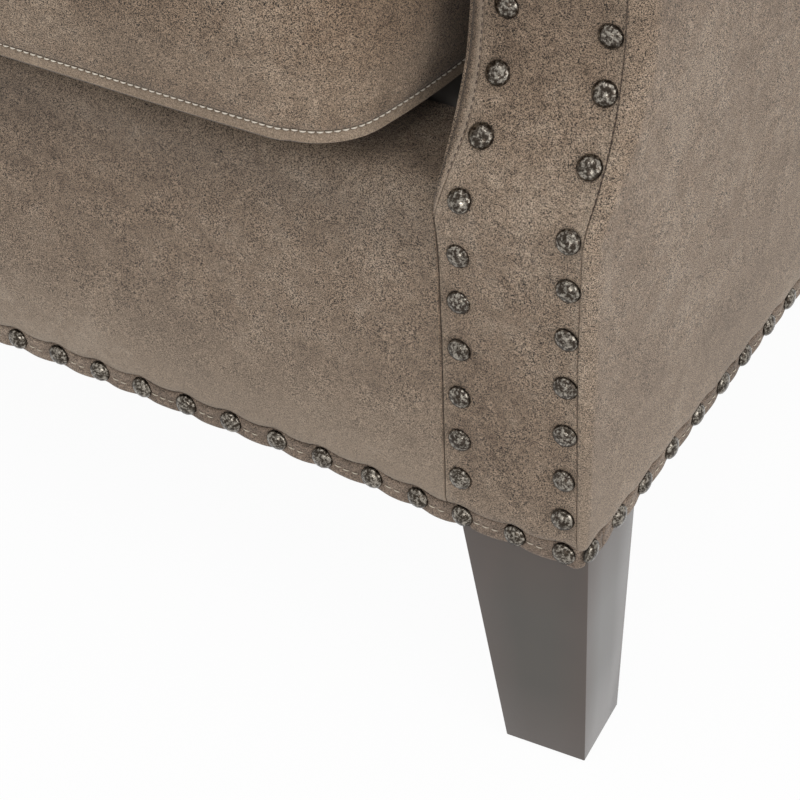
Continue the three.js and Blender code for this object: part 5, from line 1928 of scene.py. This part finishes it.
@dataclass
class Cushion:
    """The loose seat cushion: crowned top, boxed sides, and seams sewn down with tan thread."""

    form: ChairForm
    side_gap: float = 4 * MM
    overhang: float = 19 * MM
    bow: float = 7 * MM
    boxing: float = 115 * MM
    belly: float = 14 * MM
    crown: float = 30 * MM
    draw_in: float = 4 * MM
    corner: float = 32 * MM
    taper: float = math.radians(14)  # of the sides, out from the front corners
    taper_length: float = 44 * MM
    rear_corner: float = 24 * MM
    rear_gap: float = 8 * MM
    around_step: float = 4.4 * MM
    stitch_rise: float = 4.6 * MM
    wall: float = 3 * MM

    @property
    def half(self) -> float:
        """Half the cushion's width."""
        return self.form.half - self.form.arm_inner - self.form.arm_bulge - self.side_gap

    @property
    def rear(self) -> float:
        """The y of the cushion's rear."""
        return self.form.rear - self.form.back_thickness - self.rear_gap

    @property
    def low_seam(self) -> float:
        """Height of the lower seam."""
        return self.form.deck_top + self.belly

    @property
    def top_seam(self) -> float:
        """Height of the upper seam."""
        return self.low_seam + self.boxing

    def outline(self) -> tuple[Array, Array]:
        """Places round the cushion, anticlockwise from above, and their outward directions."""
        front = self.form.front + self.bow - self.overhang
        narrow = self.half - self.corner - self.taper_length * math.tan(self.taper)
        span = np.linspace(-narrow, narrow, 160)
        run = np.stack([span, front - self.bow * (1 - (span / self.half) ** 2)], axis=1)
        low = np.radians(np.linspace(-84, -math.degrees(self.taper), 26))
        low_corner = np.stack([narrow + self.corner * np.cos(low), front + self.corner + self.corner * np.sin(low)],
                              axis=1)
        share = np.linspace(0, 1, 120)[1:-1]
        y = between(low_corner[-1, 1], self.rear - self.rear_corner, share)
        widening = self.half - low_corner[-1, 0]
        ahead = np.clip(1 - (y - low_corner[-1, 1]) / (2 * widening / math.tan(self.taper)), 0, 1) ** 2
        side = np.stack([self.half - self.draw_in * np.sin(math.pi * share) - widening * ahead, y], axis=1)
        high = np.radians(np.linspace(0, 90, 24))
        high_corner = np.stack([self.half - self.rear_corner + self.rear_corner * np.cos(high),
                                self.rear - self.rear_corner + self.rear_corner * np.sin(high)], axis=1)
        right = np.concatenate([low_corner, side, high_corner])
        left = right[::-1] * np.array([-1, 1])
        rough = np.concatenate([run, right, left, run[:1]])
        length = run_of(rough)
        at = np.linspace(0, length[-1], round(length[-1] / self.around_step), endpoint=False)
        even = on_line(at, length, rough)
        ahead = np.roll(even, -2, axis=0) - np.roll(even, 2, axis=0)
        outward = unit(np.stack([ahead[:, 1], -ahead[:, 0]], axis=1))
        return even, outward

    def profile(self, inset: float) -> tuple[Array, Array, Array]:
        """The cushion's section from the middle of its foot to the middle of its crown.

        Args:
            inset: How far inside the cover's outer face it lies.

        Returns:
            Shares of the outline, offsets outwards from it, and heights.
        """
        bottom = self.form.deck_top + self.form.clearance + inset
        low, top = self.low_seam, self.top_seam
        rows = [(share, 0.0, bottom) for share in np.linspace(0.04, 0.84, 12)]
        rows += [(0.9, 0.0, bottom + 0.3 * MM), (0.94, 0.0, bottom + 2.0 * MM), (0.965, 0.0, bottom + 4.4 * MM),
                 (0.983, 0.0, low - 2.6 * MM), (0.993, 0.4 * MM, low - 1.0 * MM)]
        lip = self.stitch_rise
        foot = [(0.0, 1.0), (0.35, 1.25), (0.8, 1.1), (1.6, 0.55), (2.6, 0.45), (3.6, 0.1), (4.2, -0.55),
                (4.6, -0.8), (5.0, -0.55), (6.0, 0.35), (8.0, 1.2), (11.0, 2.0)]
        scale = lip / (4.6 * MM)
        rows += [(1.0, out * MM, low + up * MM * scale) for up, out in foot]
        middle = np.linspace(0.13, 0.87, 22)
        rows += [(1.0, 2.0 * MM + 3.2 * MM * math.sin(math.pi * (s - 0.1) / 0.8), between(low, top, s))
                 for s in middle]
        rows += [(1.0, out * MM, top - up * MM * scale) for up, out in reversed(foot)]
        rows += [(0.996, 0.6 * MM, top + 1.2 * MM), (0.991, 0.0, top + 2.2 * MM)]
        rows += [(share, 0.0, top + 2.2 * MM + (self.crown - 2.2 * MM) * (1 - share ** 3.4))
                 for share in (0.985, 0.975, 0.96, 0.94, 0.915, 0.885, *np.linspace(0.85, 0.02, 26))]
        share, out, z = (np.array(part) for part in zip(*rows))
        return share, out - inset * (share > 0.985), np.where(z > top, z - inset, np.maximum(z, bottom))

    def points(self, inset: float = 0.0, plain: bool = False) -> Array:
        """Places over the whole cushion, row by row from its foot to its crown."""
        even, outward = self.outline()
        share, out, z = self.profile(inset)
        middle = np.array([0.0, (self.rear + self.form.front + self.bow - self.overhang) / 2])
        flat = middle + (even - middle)[None, :, :] * share[:, None, None]
        shrink = inset * np.minimum(share, 1.0)[:, None, None]
        flat = flat + outward[None, :, :] * (out[:, None, None] - shrink * (share < 0.985)[:, None, None])
        heights = np.repeat(z[:, None], len(even), axis=1)
        points = np.concatenate([flat, heights[..., None]], axis=2)
        if plain:
            return points
        top = smoothstep(z, self.top_seam, self.top_seam + 12 * MM)[:, None]
        side = np.exp(-((z - (self.low_seam + self.top_seam) / 2) / (42 * MM)) ** 2)[:, None]
        side = side * (share > 0.99)[:, None]
        sag = wavering(points, 6.0, 3.0 * MM, 2.5) * top
        folds = wavering(points * np.array([1, 1, 0.35]), 16.0, 1.5 * MM, 1.1) * side
        points[..., 2] += sag
        points[..., :2] += outward[None, :, :] * folds[..., None]
        return points

    def shell(self, name: str, points: Array, finish: Finish, seams: bool) -> bpy.types.Object:
        """Makes a closed form from rows of places, with the last column joined to the first."""
        closed = np.concatenate([points, points[:, :1]], axis=1)
        skin = Skin()
        verts = lay_grid(skin.work, closed)
        if seams:
            for vert in verts:
                near_low = abs(vert.co.z - self.low_seam)
                near_top = abs(vert.co.z - self.top_seam)
                seam = min(near_low, near_top)
                over = vert.co.z - self.low_seam
                lip = 0.9 * math.exp(-(max(seam - 4 * MM, 0) / (2 * MM)) ** 2)
                vert[skin.worn] = max(lip, 0.4 * math.exp(-((over - 22 * MM) / (17 * MM)) ** 2))
                # Painted shade along each topstitched line, and under the lower seam where the cushion sits on the
                # deck.
                stitch = min(abs(over - self.stitch_rise), abs(self.top_seam - self.stitch_rise - vert.co.z))
                shade = 0.5 * math.exp(-(stitch / (0.8 * MM)) ** 2)
                vert[skin.tucked] = shade if over > -2 * MM else 0.6
        skin.close()
        return finished(skin.work, name, finish)

    def stitch_lines(self) -> list[tuple[Array, Array]]:
        """The two topstitched lines round the boxing, with their outward directions."""
        even, outward = self.outline()
        facing_out = np.concatenate([outward, np.zeros((len(outward), 1))], axis=1)
        lines = []
        for z in (self.low_seam + self.stitch_rise, self.top_seam - self.stitch_rise):
            flat = even - outward * 0.12 * MM
            line = np.concatenate([flat, np.full((len(even), 1), z)], axis=1)
            lines.append((np.concatenate([line, line[:1]]), np.concatenate([facing_out, facing_out[:1]])))
        return lines

    def build(self) -> list[tuple[bpy.types.Object, str]]:
        """Makes the cover, the core and the stitches, each with the CAD node that it stands for."""
        cover = self.shell("cushion_case", self.points(), CUSHION_SUEDE, True)
        core = self.shell("cushion_foam", self.points(self.wall + 2 * MM, True), FOAM, False)
        row = StitchRow(pitch=3.6 * MM, length=3.0 * MM, thread=0.72 * MM)
        stitches = row.sew("cushion_topstitch", self.stitch_lines(), PALE_THREAD)
        return [(cover, "cushion_cover"), (core, "cushion_core"), (stitches, "")]


# Legs and the frame


@dataclass
class Leg:
    """A tapered square leg with eased edges."""

    form: ChairForm
    top_width: float = 61.5 * MM
    top_depth: float = 56 * MM
    foot: float = 40 * MM
    rear_rake: float = 28 * MM
    turn: float = math.radians(5)
    set_in: float = 4.5 * MM  # of a front leg's top, from the body's corner
    kick: float = 2.5 * MM  # how far a front leg's foot stands forward
    ease: float = 0.5 * MM

    @property
    def bolt(self) -> Vector:
        """The axis that a front leg is screwed round."""
        form = self.form
        return Vector((form.half - self.set_in - self.top_width / 2, form.front + self.set_in + self.top_depth / 2, 0))

    def corners(self, front: bool, low: float, high: float) -> list[tuple[Vector, Vector]]:
        """The foot and top corners of a right-hand leg, in order round it."""
        form = self.form
        if front:
            foot_at, top_at, back = (form.half, form.front - self.kick), (self.bolt.x + self.top_width / 2,
                                                                          form.front + self.set_in), 1.0
        else:
            foot_at, top_at, back = (form.half, form.post_rear + self.rear_rake), (form.half, form.post_rear), -1.0
        pairs = []
        for width, depth in ((0, 0), (0, 1), (1, 1), (1, 0)):
            foot = Vector((foot_at[0] - self.foot * width, foot_at[1] + back * self.foot * depth, low))
            top = Vector((top_at[0] - self.top_width * width, top_at[1] + back * self.top_depth * depth, high))
            pairs.append((foot, top))
        return pairs

    def build(self, end: str, side: Side) -> bpy.types.Object:
        """Makes one leg.

        Args:
            end: The end of the chair that it stands at, front or rear.
            side: The side that it is for.

        Returns:
            The leg's object.
        """
        low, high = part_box(f"leg_{end}_{side.word}")
        pairs = self.corners(end == "front", low.z, high.z)
        work = bmesh.new()
        feet = [work.verts.new(foot) for foot, _ in pairs]
        tops = [work.verts.new(top) for _, top in pairs]
        work.faces.new(feet)
        work.faces.new(tops)
        for index in range(4):
            following = (index + 1) % 4
            work.faces.new((feet[index], feet[following], tops[following], tops[index]))
        bmesh.ops.recalc_face_normals(work, faces=work.faces)
        if end == "front":
            bmesh.ops.rotate(work, cent=self.bolt, matrix=Matrix.Rotation(self.turn, 3, "Z"), verts=work.verts)
        bmesh.ops.bevel(work, geom=list(work.edges), offset=self.ease, segments=3, profile=0.5,
                        affect="EDGES", material=-1)
        worn = work.verts.layers.float.new("worn")
        for vert in work.verts:
            vert[worn] = 1.0
        bmesh.ops.subdivide_edges(work, edges=[edge for edge in work.edges if edge.calc_length() > 20 * MM],
                                  cuts=2, use_grid_fill=True)
        for vert in work.verts:
            edge_on = min(edge.calc_length() for edge in vert.link_edges) < 2 * self.ease
            vert[worn] = 0.8 if edge_on else 0.0
        if side is Side.LEFT:
            mirrored(work)
        return finished(work, f"{end}_leg_{side.word}", LEG_PAINT)


def dust_sheet(form: ChairForm) -> bpy.types.Object:
    """The dust cloth stapled under the frame, which sags a little in its middle."""
    low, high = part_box("dust_sheet")
    across = np.linspace(low.x, high.x, 60)
    along = np.linspace(low.y, high.y, 54)
    x, y = np.meshgrid(across, along)
    share_x = (x - low.x) / (high.x - low.x)
    share_y = (y - low.y) / (high.y - low.y)
    sag = 0.2 * MM * np.sin(math.pi * share_x) * np.sin(math.pi * share_y)
    lower = np.stack([x[:, ::-1], y[:, ::-1], low.z - sag], axis=-1)
    work = bmesh.new()
    lay_grid(work, lower)
    made = finished(work, "dust_cloth", DUST_CLOTH)
    wall = made.modifiers.new("cloth", "SOLIDIFY")
    wall.thickness = 0.7 * MM
    wall.offset = -1
    return made


NODE_FINISHES: dict[str, Finish] = {
    "rail": TIMBER,
    "post": TIMBER,
    "block": TIMBER,
    "board": TIMBER,
    "spring": STEEL,
    "bolt": STEEL,
    "insert": STEEL,
    "slider": STEEL,
    "glide": NYLON,
    "webbing": WEBBING,
    "tape": WEBBING,
}


def finish_nodes(nodes: dict[str, bpy.types.Object]) -> None:
    """Gives every carried-over node the finish of what it is made of."""
    for name, node in nodes.items():
        finish = next((kind for word, kind in NODE_FINISHES.items() if word in name), None)
        if finish is not None:
            node.data.materials.clear()
            node.data.materials.append(finish.material())


# Studio


@dataclass
class Studio:
    """A plain white sweep, soft lamps and the camera."""

    azimuth: float = math.radians(32.42)
    elevation: float = math.radians(39.87)
    roll: float = math.radians(-1.69)
    place: tuple[float, float, float] = (0.73158, -1.09925, 0.88248)
    lens: float = 112.14
    floor_reach: float = 14.0

    def camera(self) -> None:
        """Sets the camera where the photograph was taken from."""
        data = bpy.data.cameras.new("camera")
        data.lens = self.lens
        data.sensor_width = 36.0
        data.clip_start, data.clip_end = 0.05, 60.0
        made = bpy.data.objects.new("camera", data)
        a, e, r = self.azimuth, self.elevation, self.roll
        back = Vector((math.sin(a) * math.cos(e), -math.cos(a) * math.cos(e), math.sin(e)))
        right = Vector((math.cos(a), math.sin(a), 0))
        up = back.cross(right)
        turned_right = right * math.cos(r) + up * math.sin(r)
        turned_up = up * math.cos(r) - right * math.sin(r)
        turn = Matrix((turned_right, turned_up, back)).transposed().to_4x4()
        made.matrix_world = Matrix.Translation(self.place) @ turn
        bpy.context.scene.collection.objects.link(made)
        bpy.context.scene.camera = made

    def lamp(self, name: str, place: tuple[float, float, float], target: tuple[float, float, float],
             size: float, power: float) -> None:
        """Hangs a square soft lamp that looks at a target."""
        data = bpy.data.lights.new(name, "AREA")
        data.shape = "SQUARE"
        data.size = size
        data.energy = power
        made = bpy.data.objects.new(name, data)
        made.location = place
        made.rotation_euler = (Vector(place) - Vector(target)).to_track_quat("Z", "Y").to_euler()
        bpy.context.scene.collection.objects.link(made)

    def seen_directly(self, graph: Graph) -> Signal:
        """A mask for rays from the camera, from gloss and through glass."""
        path = graph.node("ShaderNodeLightPath", {}, {})
        total = path.out("Is Camera Ray") + path.out("Is Glossy Ray") + path.out("Is Transmission Ray")
        return total.clamped()

    def world(self, level: float) -> None:
        """Lights the scene evenly, and shows white behind it."""
        world = bpy.data.worlds.new("studio")
        world.use_nodes = True
        bpy.context.scene.world = world
        graph = Graph(world.node_tree)
        plain = graph.node("ShaderNodeBackground", {}, {"Color": (1, 1, 1, 1), "Strength": level}).out(0)
        white = graph.node("ShaderNodeBackground", {}, {"Color": (1, 1, 1, 1), "Strength": 1.0}).out(0)
        mixed = graph.node("ShaderNodeMixShader", {}, {0: self.seen_directly(graph), 1: plain, 2: white}).out(0)
        graph.node("ShaderNodeOutputWorld", {}, {"Surface": mixed})

    def floor(self) -> None:
        """Lays a white floor that keeps the chair's shadow."""
        work = bmesh.new()
        bmesh.ops.create_grid(work, x_segments=1, y_segments=1, size=self.floor_reach)
        material = bpy.data.materials.new("floor")
        material.use_nodes = True
        graph = Graph(material.node_tree)
        paint = graph.node("ShaderNodeBsdfDiffuse", {}, {"Color": (0.9, 0.9, 0.9, 1)}).out(0)
        glow = graph.node("ShaderNodeEmission", {}, {"Color": (1, 1, 1, 1), "Strength": 1.0}).out(0)
        share = self.seen_directly(graph) * 0.96
        graph.surface(graph.node("ShaderNodeMixShader", {}, {0: share, 1: paint, 2: glow}).out(0))
        mesh = bpy.data.meshes.new("floor")
        work.to_mesh(mesh)
        work.free()
        mesh.materials.append(material)
        made = bpy.data.objects.new("floor", mesh)
        bpy.context.scene.collection.objects.link(made)
        made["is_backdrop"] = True

    def build(self) -> None:
        """Sets up the camera, the lamps and the white sweep."""
        scene = bpy.context.scene
        scene.view_settings.view_transform = "Standard"
        self.camera()
        middle = (0.1, -0.1, 0.4)
        self.lamp("key_lamp", (2.6, -0.9, 1.1), middle, 1.5, 20.0)
        self.lamp("front_lamp", (0.9, -3.2, 0.7), middle, 0.7, 9.0)
        self.lamp("top_lamp", (0.3, -0.9, 3.2), middle, 2.2, 20.0)
        self.world(0.70)
        self.floor()


# The whole chair


class Armchair:
    """Builds every piece and ties it to the frame."""

    def __init__(self) -> None:
        """Loads the frame and sets out the chair's form."""
        self.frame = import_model()
        self.packed_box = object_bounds()
        self.form = ChairForm.from_frame()
        self.nails = Nails(self.form)

    def fit(self, piece: bpy.types.Object, nodes: Sequence[str], body: str = "chair_body") -> None:
        """Ties a piece to its body.

        Args:
            piece: The new piece.
            nodes: The CAD nodes that it stands for.
            body: The body that it rides on.
        """
        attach(piece, body)
        if nodes:
            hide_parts(*nodes)
        LOG.info("%s: %d faces on %s", piece.name, len(piece.data.polygons), body)

    def covers(self) -> None:
        """Makes the fixed covers."""
        form = self.form
        for side in Side:
            word = side.word
            self.fit(ArmFront(form, self.nails).build(side), [f"arm_front_panel_{word}"])
            self.fit(OutsideArm(form, self.nails).build(side), [f"outside_arm_panel_{word}"])
            self.fit(ArmRoll(form).build(side), [f"arm_cover_{word}"])
            self.fit(Wing(form).build(side), [f"wing_cover_{word}"])
        self.fit(FrontBorder(form, self.nails).build(), ["front_border"])
        self.fit(InsideBack(form).build(), ["inside_back"])
        self.fit(OutsideBack(form, self.nails).build(), ["outside_back"])
        self.fit(SeatDeck(form).build(), ["seat_deck"])

    def trim(self) -> None:
        """Makes the base band, its stitches and the nails."""
        for piece, node in BaseBand(self.form, self.nails).build():
            self.fit(piece, [node] if node else [])
        for piece in self.nails.build():
            self.fit(piece, [])
        row = StitchRow(pitch=3.4 * MM, length=2.6 * MM, thread=0.5 * MM)
        self.fit(row.sew("seam_stitches", self.nails.seam_lines(), DARK_THREAD), [])

    def cushion(self) -> None:
        """Makes the loose cushion."""
        for piece, node in Cushion(self.form).build():
            slot = "foam" if node == "cushion_core" else "cover"
            self.fit(piece, [node] if node else [], "seat_cushion")

    def legs(self) -> None:
        """Makes the four legs and the dust cloth over them."""
        leg = Leg(self.form)
        for end in ("front", "rear"):
            for side in Side:
                self.fit(leg.build(end, side), [f"leg_{end}_{side.word}"])
        cloth = dust_sheet(self.form)
        self.fit(cloth, ["dust_sheet"])

    def write_size(self) -> None:
        """Updates the view layer."""
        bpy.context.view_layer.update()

    def build(self) -> None:
        """Dresses the chair."""
        Studio().build()
        finish_nodes(self.frame["nodes"])
        self.covers()
        self.trim()
        self.cushion()
        self.legs()
        self.write_size()


def main() -> None:
    """Builds the dressed chair in its studio."""
    logging.basicConfig(level=logging.INFO, format="%(name)s: %(message)s")
    Armchair().build()


if __name__ == "__main__":
    main()
